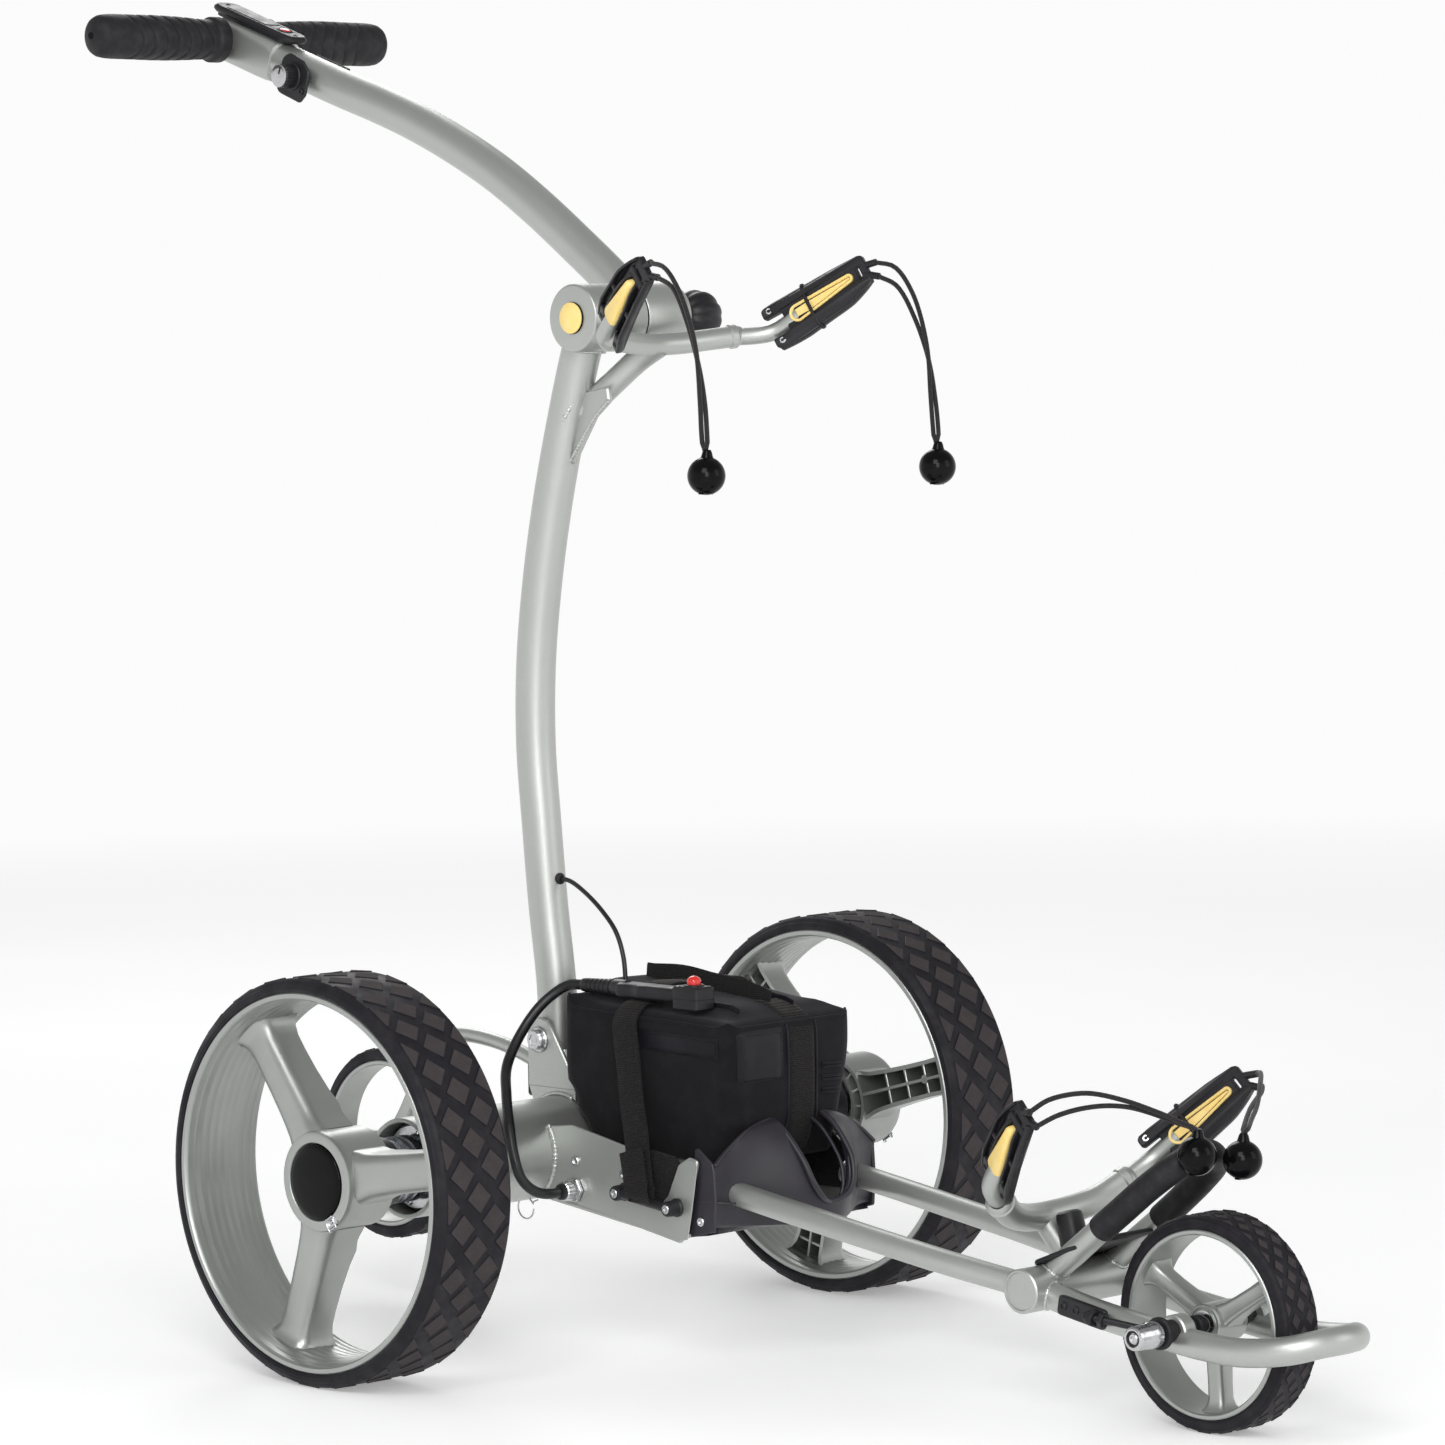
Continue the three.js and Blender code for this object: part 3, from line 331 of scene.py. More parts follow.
# ---- mesh building -------------------------------------------------------------------------
def spline(points, count):
    """Evenly spaced points on a centripetal Catmull-Rom curve through the given ones."""
    p = [Vector(q) for q in points]
    p = [2 * p[0] - p[1], *p, 2 * p[-1] - p[-2]]
    dense = []
    for a, b, c, d in zip(p, p[1:], p[2:], p[3:]):
        knots = [0.0]
        for q, r in ((a, b), (b, c), (c, d)):
            knots.append(knots[-1] + math.sqrt((r - q).length))
        t0, t1, t2, t3 = knots
        for k in range(16):
            t = t1 + (t2 - t1) * k / 16
            e = a.lerp(b, (t - t0) / (t1 - t0))
            f = b.lerp(c, (t - t1) / (t2 - t1))
            g = c.lerp(d, (t - t2) / (t3 - t2))
            h = e.lerp(f, (t - t0) / (t2 - t0))
            i = f.lerp(g, (t - t1) / (t3 - t1))
            dense.append(h.lerp(i, (t - t1) / (t2 - t1)))
    dense.append(p[-2].copy())
    lengths = [0.0]
    for a, b in zip(dense, dense[1:]):
        lengths.append(lengths[-1] + (b - a).length)
    found, k = [], 0
    for i in range(count):
        wanted = lengths[-1] * i / (count - 1)
        while k < len(dense) - 2 and lengths[k + 1] < wanted:
            k += 1
        share = (wanted - lengths[k]) / (lengths[k + 1] - lengths[k])
        found.append(dense[k].lerp(dense[k + 1], share))
    return found


def arc(cx, cy, r, start, end, count):
    """Points on an arc, angles in degrees."""
    angles = [math.radians(start + (end - start) * i / (count - 1)) for i in range(count)]
    return [(cx + r * math.cos(a), cy + r * math.sin(a)) for a in angles]


def filleted(points, radius, count=5):
    """A closed outline with its corners rounded; radius is one number or one for each corner."""
    radii = radius if isinstance(radius, (list, tuple)) else [radius] * len(points)
    made = []
    for i, r in enumerate(radii):
        a, b, c = (Vector(points[(i + k) % len(points)]) for k in (-1, 0, 1))
        to_a, to_c = (a - b).normalized(), (c - b).normalized()
        half = to_a.angle(to_c) / 2
        cut = min(r / math.tan(half), (a - b).length * 0.49, (c - b).length * 0.49) if r else 0
        if cut < 1e-6:
            made.append(tuple(b))
            continue
        start, end = b + to_a * cut, b + to_c * cut
        for k in range(count):
            t = k / (count - 1)
            made.append(tuple(start * (1 - t) ** 2 + b * 2 * t * (1 - t) + end * t * t))
    return made


def offset(outline, distance):
    """A closed outline moved inwards by distance; negative moves it outwards."""
    area = sum(a[0] * b[1] - b[0] * a[1] for a, b in zip(outline, outline[1:] + outline[:1]))
    turn = 1 if area > 0 else -1
    made = []
    for i, p in enumerate(outline):
        a, b, c = Vector(outline[i - 1]), Vector(p), Vector(outline[(i + 1) % len(outline)])
        before, after = (b - a).normalized(), (c - b).normalized()
        n0 = Vector((-before.y, before.x)) * turn
        n1 = Vector((-after.y, after.x)) * turn
        middle = (n0 + n1).normalized() if (n0 + n1).length > 1e-6 else n0
        made.append(tuple(b + middle * distance / max(0.5, middle.dot(n0))))
    return made


def run_length(points):
    """Length along a line of points."""
    line = [Vector(p) for p in points]
    return sum((b - a).length for a, b in zip(line, line[1:]))


def axes_of(direction, hint=UP):
    """Two unit vectors square to direction, the second one nearest to hint."""
    d = Vector(direction).normalized()
    h = Vector(hint)
    if abs(d.dot(h)) > 0.99:
        h = Vector(AHEAD)
    u = h.cross(d).normalized()
    return u, d.cross(u)


class Shape:
    """The surfaces of one piece: points in millimetres, faces, and a material for each face."""

    def __init__(self, *materials):
        self.materials = materials
        self.points, self.faces, self.slots = [], [], []

    def add(self, points, faces, material=0):
        base = len(self.points)
        self.points += [Vector(p) for p in points]
        self.faces += [[base + i for i in face] for face in faces]
        self.slots += [material] * len(faces)
        return self

    def rings(self, rings, material=0, closed=False, caps=True):
        """A skin over rings of points that all have the same number of points."""
        n, count = len(rings[0]), len(rings)
        faces = []
        for k in range(count if closed else count - 1):
            a, b = k * n, (k + 1) % count * n
            faces += [(a + i, a + (i + 1) % n, b + (i + 1) % n, b + i) for i in range(n)]
        if caps and not closed:
            faces += [list(range(n))[::-1], list(range((count - 1) * n, count * n))]
        return self.add([p for ring in rings for p in ring], faces, material)

    def lathe(self, profile, centre, axis=LEFT, segments=48, material=0):
        """A profile of (radius, distance along the axis), closed on the axis or on itself."""
        a = Vector(axis).normalized()
        u, v = axes_of(a)
        c = Vector(centre)
        ends = [profile[0][0] < 1e-6, profile[-1][0] < 1e-6]
        body = profile[ends[0] : len(profile) - ends[1]]
        turns = [math.tau * i / segments for i in range(segments)]
        rings = [
            [c + a * h + (u * math.cos(t) + v * math.sin(t)) * r for t in turns] for r, h in body
        ]
        if not any(ends):
            return self.rings(rings, material, closed=True)
        base = len(self.points)
        self.rings(rings, material, caps=False)
        for at_end, (r, h), first in ((0, profile[0], 0), (1, profile[-1], len(body) - 1)):
            if ends[at_end]:
                tip = len(self.points)
                self.points.append(c + a * h)
                start = base + first * segments
                for i in range(segments):
                    face = [start + i, start + (i + 1) % segments, tip]
                    self.faces.append(face if at_end else face[::-1])
                    self.slots.append(material)
            else:
                start = base + first * segments
                ring = list(range(start, start + segments))
                self.faces.append(ring if at_end else ring[::-1])
                self.slots.append(material)
        return self

    def sweep(self, path, radius, sides=24, material=0, ends=1.0, hint=UP, square=2):
        """A tube along path. radius is a number, or a function of the share of the length that
        gives one radius or two. ends rounds the two ends; square is a superellipse power, or a
        function that gives one."""
        points = [Vector(p) for p in path]
        count = len(points)
        tangents = []
        for i in range(count):
            a, b = points[max(0, i - 1)], points[min(count - 1, i + 1)]
            tangents.append((b - a).normalized())
        u, _ = axes_of(tangents[0], hint)
        rings = []

        def ring(i, share, scale, shift):
            t = tangents[i]
            v = t.cross(u)
            size = radius(share) if callable(radius) else radius
            ru, rv = size if isinstance(size, tuple) else (size, size)
            power = square(share) if callable(square) else square
            made = []
            for k in range(sides):
                angle = math.tau * k / sides
                c, s = math.cos(angle), math.sin(angle)
                x = math.copysign(abs(c) ** (2 / power), c) * ru * scale
                y = math.copysign(abs(s) ** (2 / power), s) * rv * scale
                made.append(points[i] + u * x + v * y + t * shift)
            return made

        for i in range(count):
            u = (u - tangents[i] * u.dot(tangents[i])).normalized()
            share = i / (count - 1)
            if i == 0 and ends:
                rings.append(ring(i, share, 1 - 0.45 * min(1, ends / 3), 0))
                rings.append(ring(i, share, 0.97, ends * 0.3))
            elif i == count - 1 and ends:
                rings.append(ring(i, share, 0.97, -ends * 0.3))
                rings.append(ring(i, share, 1 - 0.45 * min(1, ends / 3), 0))
            else:
                rings.append(ring(i, share, 1, 0))
        return self.rings(rings, material)

    def slab(self, outline, origin, u, v, thick, bevel=0.4, holes=(), material=0):
        """A flat outline in the plane of u and v, given thickness both ways from origin."""
        u, v = Vector(u).normalized(), Vector(v).normalized()
        n = u.cross(v)
        o = Vector(origin)
        half = thick / 2
        loops = [list(outline), *[list(h) for h in holes]]
        levels = [(half, bevel), (half - bevel, 0), (bevel - half, 0), (-half, bevel)]
        points, faces, starts = [], [], []
        for height, inset in levels:
            starts.append(len(points))
            for k, loop in enumerate(loops):
                moved = offset(loop, inset if k == 0 else -inset) if inset else loop
                points += [o + u * x + v * y + n * height for x, y in moved]
        sizes = [len(loop) for loop in loops]
        for a, b in zip(starts, starts[1:]):
            base = 0
            for size in sizes:
                for i in range(size):
                    j = (i + 1) % size
                    faces.append((b + base + i, b + base + j, a + base + j, a + base + i))
                base += size
        for tri in geometry.tessellate_polygon([[Vector((x, y, 0)) for x, y in l] for l in loops]):
            faces.append([starts[0] + i for i in tri])
            faces.append([starts[-1] + i for i in tri[::-1]])
        return self.add(points, faces, material)

    def upright(self, outline, y, thick, bevel=0.4, holes=(), material=0):
        """A slab whose outline gives x and z, standing along the trolley at y."""
        return self.slab(outline, (0, y, 0), AHEAD, UP, thick, bevel, holes, material)

    def box(self, centre, size, u=AHEAD, v=LEFT, bevel=1.0, corner=2.0, material=0):
        """A block with rounded corners: size along u, along v, and across."""
        a, b = size[0] / 2, size[1] / 2
        outline = filleted([(-a, -b), (a, -b), (a, b), (-a, b)], corner, 4)
        return self.slab(outline, centre, u, v, size[2], bevel, material=material)

    def screw(self, centre, axis, radius, height, material=0):
        """A round screw head with a hexagon socket, standing on centre."""
        a = Vector(axis).normalized()
        u, v = axes_of(a)
        c = Vector(centre)
        turns = [math.tau * i / 24 for i in range(24)]

        def ring(r, h, hexagon=False):
            made = []
            for t in turns:
                q = r
                if hexagon:
                    q = r * math.cos(math.pi / 6) / math.cos((t % (math.pi / 3)) - math.pi / 6)
                made.append(c + a * h + (u * math.cos(t) + v * math.sin(t)) * q)
            return made

        edge = min(radius, height) * 0.3
        self.rings(
            [
                ring(radius, 0), ring(radius, height - edge), ring(radius - edge, height),
                ring(radius * 0.58, height, True), ring(radius * 0.55, height * 0.45, True),
            ],
            material,
        )

    def weld(self, path, radius):
        """A rippled bead of weld along path."""
        points = spline(path, max(12, int(run_length(path) / 0.9)))

        def size(share):
            wave = math.sin(share * len(points) * 1.9) + 0.5 * math.sin(share * len(points) * 0.7)
            return radius * (1 + 0.13 * wave)

        return self.sweep(points, size, 10, ends=radius)

    def made(self, name, body, replaces=(), angle=38):
        """The Blender object of this shape, riding on a CAD body."""
        mesh = bpy.data.meshes.new(name)
        mesh.from_pydata([place(p) for p in self.points], [], self.faces)
        for material in self.materials:
            mesh.materials.append(material)
        mesh.polygons.foreach_set("material_index", self.slots)
        work = bmesh.new()
        work.from_mesh(mesh)
        bmesh.ops.recalc_face_normals(work, faces=work.faces)
        work.to_mesh(mesh)
        work.free()
        mesh.polygons.foreach_set("use_smooth", [True] * len(mesh.polygons))
        mesh.set_sharp_from_angle(angle=math.radians(angle))
        piece = bpy.data.objects.new(name, mesh)
        bpy.context.collection.objects.link(piece)
        if body:
            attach(piece, body)
        if replaces:
            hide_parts(*replaces)
        return piece


def side(points, s):
    """The same points on the side s of the middle plane."""
    return [(x, y * s, z) for x, y, z in points]


# ---- cords and leads -----------------------------------------------------------------------
def free_cord(name, points, radius, material, body, node, far_end, sides=10, ends=0.6, **facts):
    """A round cord through the points: a mesh tube."""
    piece = Shape(material).sweep(points, radius, sides, ends=ends).made(name, body, [node])
    length = run_length(points) / 1000
    path = [place(p) for p in points]
    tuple(path[0])
    return piece


# Routes as in the CAD source: pad end to ball for the elastics, plug to socket for the lead.
UPPER_CORD = {
    "near": [(196, 124, 857), (214, 127, 853), (232, 128, 832), (246, 128, 795), (252, 128, 755),
             (254, 128, 728), (255.5, 128, 711.5)],
    "far": [(201, 122, 846), (219, 124, 838), (236, 126, 812), (248, 127, 780), (253, 127, 748),
            (255, 128, 726), (255.5, 128, 711.5)],
}
UPPER_BALL = (256, 128, 696.2)
LOWER_CORD = {
    "right": {
        "near": [(572, -127, 241), (582, -116, 250), (599, -96, 254), (616, -74, 249),
                 (631, -53, 239), (640, -39, 230), (645, -29.5, 225), (645.2, -28, 221.4)],
        "far": [(577, -125, 231), (588, -113, 239), (603, -94, 244), (617, -74, 242),
                (629, -54, 235), (638, -40, 229), (644.6, -30, 224.6), (645.2, -28, 221.4)],
    },
    "left": {
        "near": [(574, 127, 243), (588, 114, 246), (606, 92, 243), (626, 62, 234),
                 (643, 34, 224), (652.5, 17, 218.4), (653, 14, 214.6)],
        "far": [(578, 125, 233), (591, 112, 237), (608, 91, 236), (624, 64, 229),
                (639, 37, 223), (652, 18, 218), (653, 14, 214.6)],
    },
}
LOWER_BALL = {"right": (645.2, -28, 205), "left": (653, 14, 198)}
PLUG = (-53, 289.5)  # y and z of the plug's middle line
LEAD = [
    (32.4, -53, 289.5), (18, -56, 288), (4, -70, 274), (-2, -88, 252), (2, -108, 228),
    (20, -126, 208), (38, -140, 186), (48, -145, 164), (53, -142, 146), (58, -133, 136),
    (62, -122, 133), (62, -108.5, 133),
]
THIN_LEAD = [
    (-18.2, -27, 369), (-8, -27, 368), (10, -29, 361), (34, -32, 347), (52, -34, 331),
    (62, -36, 312), (65, -37, 292), (65.5, -37.5, 283),
]


def ball(name, centre, up, body, node):
    """A glossy ball with the cord's neck on top and its two crimped ends below, drawn as spots of painted
    shade.
    """
    shape = Shape(GLOSS, RECESS_SHADE)
    sphere = [(0, -BALL_R)]
    sphere += arc(0, 0, BALL_R, -80, 70, 20)
    sphere += [(4.4, BALL_R + 0.4), (3.7, BALL_R + 3.2), (2.6, BALL_R + 5.2), (0, BALL_R + 5.4)]
    shape.lathe(sphere, centre, up, 40)
    c = Vector(centre)
    u, _ = axes_of(up)
    for s in (-1, 1):
        foot = c + u * 4.2 * s - Vector(up) * (BALL_R - 1.1)
        shape.lathe([(0, 0.4), (2.3, 0.4), (2.7, 0), (2.7, -0.5), (0, -0.5)], foot, up, 16, 1)
    return shape.made(name, body, [node])


def twisted(near, far, turns):
    """Two strands that wind round each other along the middle of two routes."""
    count, gap = 34, 2.05
    a, b = spline(near, count), spline(far, count)
    made = ([], [])
    for i in range(count):
        share = i / (count - 1)
        middle = (a[i] + b[i]) / 2
        apart = (a[i] - b[i]) / 2
        ahead = (a[min(i + 1, count - 1)] - a[max(i - 1, 0)]).normalized()
        u, v = axes_of(ahead, (1, 0.2, 0))
        angle = math.tau * turns * share
        wound = (u * math.cos(angle) + v * math.sin(angle)) * gap
        mix = min(1, max(0, (share - 0.3) / 0.4)) * min(1, (1 - share) / 0.06)
        mix = mix * mix * (3 - 2 * mix)
        end = min(1, (1 - share) / 0.06)
        for k, sign in ((0, 1), (1, -1)):
            loose = middle + apart * sign * (1 - mix)
            made[k].append(loose + wound * sign * mix * end)
    return made


def elastic_pair(side_name, level, near, far, centre, body):
    node = f"{level}_ball_{side_name}"
    drop = ball(node + "_piece", centre, (0.05, 0.02, 1), body, node)
    for word, route in zip(("near", "far"), twisted(near, far, 0.75 if level == "upper" else 0.3)):
        free_cord(f"{level}_elastic_{side_name}_{word}", route, CORD_R, ELASTIC, body,
                  f"{level}_cord_{side_name}", "knot", stiffness="limp", with_pieces=[drop])


def add_cords():
    for word, s in SIDES.items():
        near, far = (side(UPPER_CORD[k], s) for k in ("near", "far"))
        centre = side([UPPER_BALL], s)[0]
        elastic_pair(word, "upper", near, far, centre, "mast")
        routes = LOWER_CORD[word]
        elastic_pair(word, "lower", routes["near"], routes["far"], LOWER_BALL[word], "chassis")


def add_leads(plug):
    free_cord("battery_cable", spline(LEAD, 80), LEAD_R, CABLE, "chassis", "battery_lead", "plug",
              12, stiffness="stiff", with_pieces=[plug])
    thin = free_cord("speed_cable", spline(THIN_LEAD, 44), CORD_R, CABLE, None, "speed_lead",
                     "object", ends=0.5, stiffness="limp")
    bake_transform(thin)


# ---- wheels --------------------------------------------------------------------------------
def tyre_profile(outer, inner, half, bevel, crown):
    """A closed tyre section: flat inner seat, bevelled side walls and a crowned tread floor."""
    right = [
        (inner, half - 1.6), (inner + 1.2, half - 0.5), (inner + 2.4, half - 0.1),
        (outer - bevel - 0.4, half - 1.2), (outer - bevel + 0.5, half - 2.4),
        (outer - 2.2, half - bevel * 0.72), (outer - 1.0, half - bevel), (outer, half - bevel - 1.6),
    ]
    tread = [(outer + crown * (1 - (2 * k / 6 - 1) ** 2), (half - bevel - 3) * (1 - 2 * k / 6))
             for k in range(7)]
    left = [(r, -h) for r, h in reversed(right)]
    return right + tread + left


def clipped(outline, sign, bound):
    """The part of an outline whose first coordinate times sign stays under bound."""
    made = []
    for a, b in zip(outline, outline[1:] + outline[:1]):
        here, there = bound - sign * a[0], bound - sign * b[0]
        if here >= 0:
            made.append(a)
        if here * there < 0:
            t = here / (here - there)
            made.append((a[0] + (b[0] - a[0]) * t, a[1] + (b[1] - a[1]) * t))
    return made


def add_tyre(name, body, node, x, y, z, radius, seat, width, tread):
    """tread: columns, rows, block half width and half length, usable half width, block height."""
    columns, rows, half_w, half_l, limit, height = tread
    shape = Shape(TYRE, TREAD)
    floor = radius - height
    bevel = width * 0.06
    profile = tyre_profile(floor - 0.25, seat, width / 2, bevel, 0.25)
    shape.lathe(profile, (x, y, z), LEFT, 128)
    pitch = math.tau / rows

    def on_tread(angle, across, r):
        return (x + r * math.cos(angle), y + across, z + r * math.sin(angle))

    step = 2 * limit / (columns - 1)
    for c in range(columns):
        middle = -limit + step * c
        for k in range(rows):
            turn = pitch * (k + 0.5 * (c % 2)) + 0.0011 * middle
            outline = [(0, half_l), (half_w, 0.4), (half_w * 0.1, -half_l), (-half_w, -0.4)]
            for sign in (-1, 1):
                outline = clipped(outline, sign, limit + 0.4 - sign * middle)
            rings = [[on_tread(turn + b / radius, middle + a, r) for a, b in offset(outline, inset)]
                     for inset, r in ((-0.15, floor - 0.5), (0.1, radius - 0.25), (0.5, radius))]
            n = len(outline)
            skin = [(k * n + i, k * n + (i + 1) % n, (k + 1) * n + (i + 1) % n, (k + 1) * n + i)
                    for k in range(2) for i in range(n)]
            points = [p for ring in rings for p in ring]
            shape.add(points, skin + [list(range(n))[::-1]])
            shape.add(rings[2], [list(range(n))], 1)
    return shape.made(name, body, [node], 30)


REAR_SECTIONS = [
    # distance from the hub, half width, outer face, inner face
    (33, 21, 19, -18), (38, 20, 18.6, -18), (42, 18.6, 18, -18), (48, 17.4, 17, -18),
    (57, 16.8, 16, -20), (70, 16, 15.2, -18), (90, 15.4, 14.4, -16.5), (110, 15.2, 13.8, -16),
    (122, 15.6, 13.6, -16), (130, 16.8, 14, -17), (136, 19.6, 15.4, -19), (140, 24, 18.6, -22),
    (143.6, 31, 24, -26),
]
SMALL_SECTIONS = [
    (11, 9.5, 12.5, -12.5), (15, 8.6, 11.5, -11.5), (20, 7.6, 10.2, -10.2), (30, 7, 9, -9),
    (45, 6.8, 8.4, -8.4), (56, 7.2, 8.4, -8.4), (61, 8.6, 9.4, -9.4), (65, 11.5, 12, -12),
    (67.4, 14.5, 14, -14),
]


def round_wheel(angle):
    """Directions out along a wheel's radius and round it."""
    c, s = math.cos(angle), math.sin(angle)
    return Vector((c, 0, s)), Vector((-s, 0, c))


def spoke(shape, centre, s, angle, sections, wall, round_r, hollow=True):
    """One moulded spoke: a rounded channel open to the inner side, with ribs in it."""
    along, across = round_wheel(angle)
    out = Vector((0, s, 0))
    c = Vector(centre)
    quarter = [math.radians(v) for v in (0, 18, 36, 54, 72, 90)]
    rings = []
    for r, half, outer, inner in sections:
        q = min(round_r, half * 0.6)
        line = [(-half, inner)]
        line += [(-half + q - q * math.cos(a), outer - q + q * math.sin(a)) for a in quarter]
        line += [(half - q + q * math.sin(a), outer - q + q * math.cos(a)) for a in quarter]
        line += [(half, inner)]
        if hollow:
            w, top = half - wall, outer - wall
            line += [(w, inner), (w, top - 2), (w - 2, top), (2 - w, top), (-w, top - 2), (-w, inner)]
        else:
            mirrored = [(a, inner + outer - b) for a, b in line[1:-1]]
            line = line[1:-1] + mirrored[::-1]
        rings.append([c + along * r + across * t + out * h for t, h in line])
    shape.rings(rings)
    if hollow:
        first, last = sections[1][0], sections[-2][0]
        middle = c + along * (first + last) / 2 + out * -2
        reach = (last - first) / 2
        rib = [(-reach, -20), (reach, -13), (reach, 13), (-reach, 15)]
        shape.slab(rib, middle, along, out, 2.4, 0.4)
        for r in (62, 84, 106, 126):
            shape.box(c + along * r + out * -2.5, (2.2, 29, 24), along, across, 0.4, 0.5)
        post = c + along * 106 + out * -16
        shape.lathe([(1.6, 0), (3.6, 0), (3.6, 8), (1.6, 8)], post, out, 16)


def add_rear_wheel(word, s, phase):
    body = word + "_wheel"
    y = s * WHEEL_Y
    centre = (0, y, AXLE_Z)
    out = (0, s, 0)
    add_tyre("tyre_rear_" + word, body, "rear_tyre_" + word, 0, y, AXLE_Z, 158.5, 147.1, 76.4,
             (5, 24, 12.4, 12.6, 31.4, 0.7))
    rim = Shape(WHEEL, RECESS_SHADE)
    lips = [(147, 35.6), (145.8, 36.6), (142.6, 36.7), (141.4, 35.2), (140.6, 33)]
    inner = []
    for k in range(9):
        r, h = 140.6 - 2.2 * math.sin(math.pi * k / 8), 31 - 7.4 * k
        inner += [(r, h), (r - 0.35, h - 0.8), (r - 0.35, h - 3), (r - 0.05, h - 3.8)]
    barrel = [(147, -34), (147, 34), *lips, *inner]
    barrel += [(r, -h) for r, h in reversed(lips)]
    rim.lathe(barrel, centre, out, 128)
    # The hub: a face ring round the cap, a shell with ribs behind it and a sleeve in the middle.
    hub = [
        (0, HUB_FACE - 4.6), (29.6, HUB_FACE - 4.6), (29.8, HUB_FACE - 0.9), (30.6, HUB_FACE),
        (36.4, HUB_FACE), (38.2, HUB_FACE - 0.9), (39.0, HUB_FACE - 3.2), (39.0, HUB_FACE - 7),
        (38.8, 10), (38.6, -4), (38.8, -22), (36, -22), (35.6, 6), (31.5, 6), (31, -26),
        (28, -26), (28, 4), (0, 4),
    ]
    rim.lathe(hub, centre, out, 72)
    for k in range(15):
        along, _ = round_wheel(math.tau * k / 15)
        rim.box(Vector(centre) + along * 33.6 + Vector(out) * -8, (6.4, 28, 1.9), along, out, 0.3, 0.4)
    for k in range(3):
        spoke(rim, centre, s, phase + k * math.tau / 3, REAR_SECTIONS, 3.4, 11)
    rim.made("rim_rear_" + word, body, ["rear_rim_" + word], 32)
    cap = [(0, HUB_FACE - 4.4), (29.2, HUB_FACE - 4.4), (29.2, HUB_FACE - 0.4)]
    cap += [(29.2 - 1.6 * (1 - math.cos(a)), HUB_FACE - 0.4 + 1.6 * math.sin(a))
            for a in (0.3, 0.7, 1.1)]
    cap += [(24, HUB_FACE + 1.9), (14, HUB_FACE + 2.5), (0, HUB_FACE + 2.7)]
    Shape(GLOSS).lathe(cap, centre, out, 64).made("cap_" + word, body, ["hub_cap_" + word])
    add_catch(word, s, y)
    add_drive_axle(word, s)


def add_catch(word, s, y):
    """The bright spring catch at the hub's lower edge."""
    along, across = round_wheel(CATCH_ANGLE)
    out = Vector((0, s, 0))
    face = Vector((0, y, AXLE_Z)) + out * (HUB_FACE + 0.2)
    shape = Shape(STEEL)
    shape.box(face + along * 35.2, (9, 8.4, 1.1), along, across, 0.3, 1.2)
    shape.box(face + along * 31.2 + out * 1, (1.1, 8.4, 3), along, across, 0.3, 0.4)
    for t in (-4.4, 4.4):
        shape.box(face + along * 37 + across * t + out * 0.8, (8, 1.1, 3.2), along, across, 0.3, 0.4)
    shape.lathe([(0, -5.6), (1.3, -5.6), (1.3, 5.6), (0, 5.6)], face + along * 37.5 + out * 1.2,
                across, 16)
    shape.lathe([(0, 0), (1.8, 0), (1.8, 1), (1.2, 1.5), (0, 1.6)], face + along * 34.4 + out * 0.5,
                out, 16)
    shape.made("catch_" + word, word + "_catch", ["wheel_catch_" + word])


def add_drive_axle(word, s):
    profile = [
        (0, 209), (15, 209.5), (15.4, 212), (23.5, 212.2), (26, 213.6), (26, 222), (24.6, 222.6),
        (24.6, 225), (26, 225.6), (26, 231), (24.2, 231.8), (24.2, 238), (26, 238.8), (26, 257.6),
        (25, 259.2), (12, 259.4), (8, 260), (8, 298), (0, 298),
    ]
    shape = Shape(MACHINED).lathe(profile, (0, 0, AXLE_Z), (0, s, 0), 64)
    shape.made("axle_" + word, word + "_wheel", ["drive_axle_" + word])
    grips = Shape(BLACK)
    grips.lathe([(26.3, 240), (27, 240.6), (27, 255), (26.3, 255.8), (25.4, 255.8), (25.4, 240)],
                (0, 0, AXLE_Z), (0, s, 0), 64)
    grips.made("axle_sleeve_" + word, word + "_wheel")


def add_small_wheel(prefix, body, x, z, width, phase, spokes_out):
    centre = (x, 0, z)
    tread = (5 if width > 35 else 3, 24, 5.0, 6.6, width / 2 - 4.4, 0.5)
    add_tyre("tyre_" + prefix, body, prefix + "_tyre", x, 0, z, SMALL_R, 69.5, width, tread)
    half = width / 2 - 1
    rim = Shape(WHEEL)
    barrel = [(69.4, -half), (69.4, half), (68.6, half + 0.6), (66.4, half + 0.6), (65.4, half - 0.6),
              (65.2, half * 0.5), (64.9, 0), (65.2, -half * 0.5), (65.4, 0.6 - half),
              (66.4, -half - 0.6), (68.6, -half - 0.6)]
    rim.lathe(barrel, centre, LEFT, 96)
    h = spokes_out
    hub = [(5.4, -h), (10.4, -h), (10.4, -h + 1.4), (12.6, -h + 1.4), (12.6, -h), (14, -h),
           (15, -h + 1.4), (15, h - 1.4), (14, h), (12.6, h), (12.6, h - 1.4), (10.4, h - 1.4),
           (10.4, h), (5.4, h)]
    rim.lathe(hub, centre, LEFT, 48)
    for k in range(3):
        scale = min(1, (h - 1) / 15)
        sections = [(r, w, o * scale, i * scale) for r, w, o, i in SMALL_SECTIONS]
        spoke(rim, centre, -1, phase + k * math.tau / 3, sections, 2.6, 4.5, hollow=False)
    rim.made("rim_" + prefix, body, [prefix + "_rim"], 32)
    bearing = Shape(STEEL)
    for s in (-1, 1):
        ring = [(5.6, h - 0.8), (10.2, h - 0.8), (10.2, h + 0.1), (9, h + 0.3), (6.6, h + 0.3)]
        bearing.lathe([(r, s * q) for r, q in ring], centre, LEFT, 32)
    bearing.made("bearings_" + prefix, body)


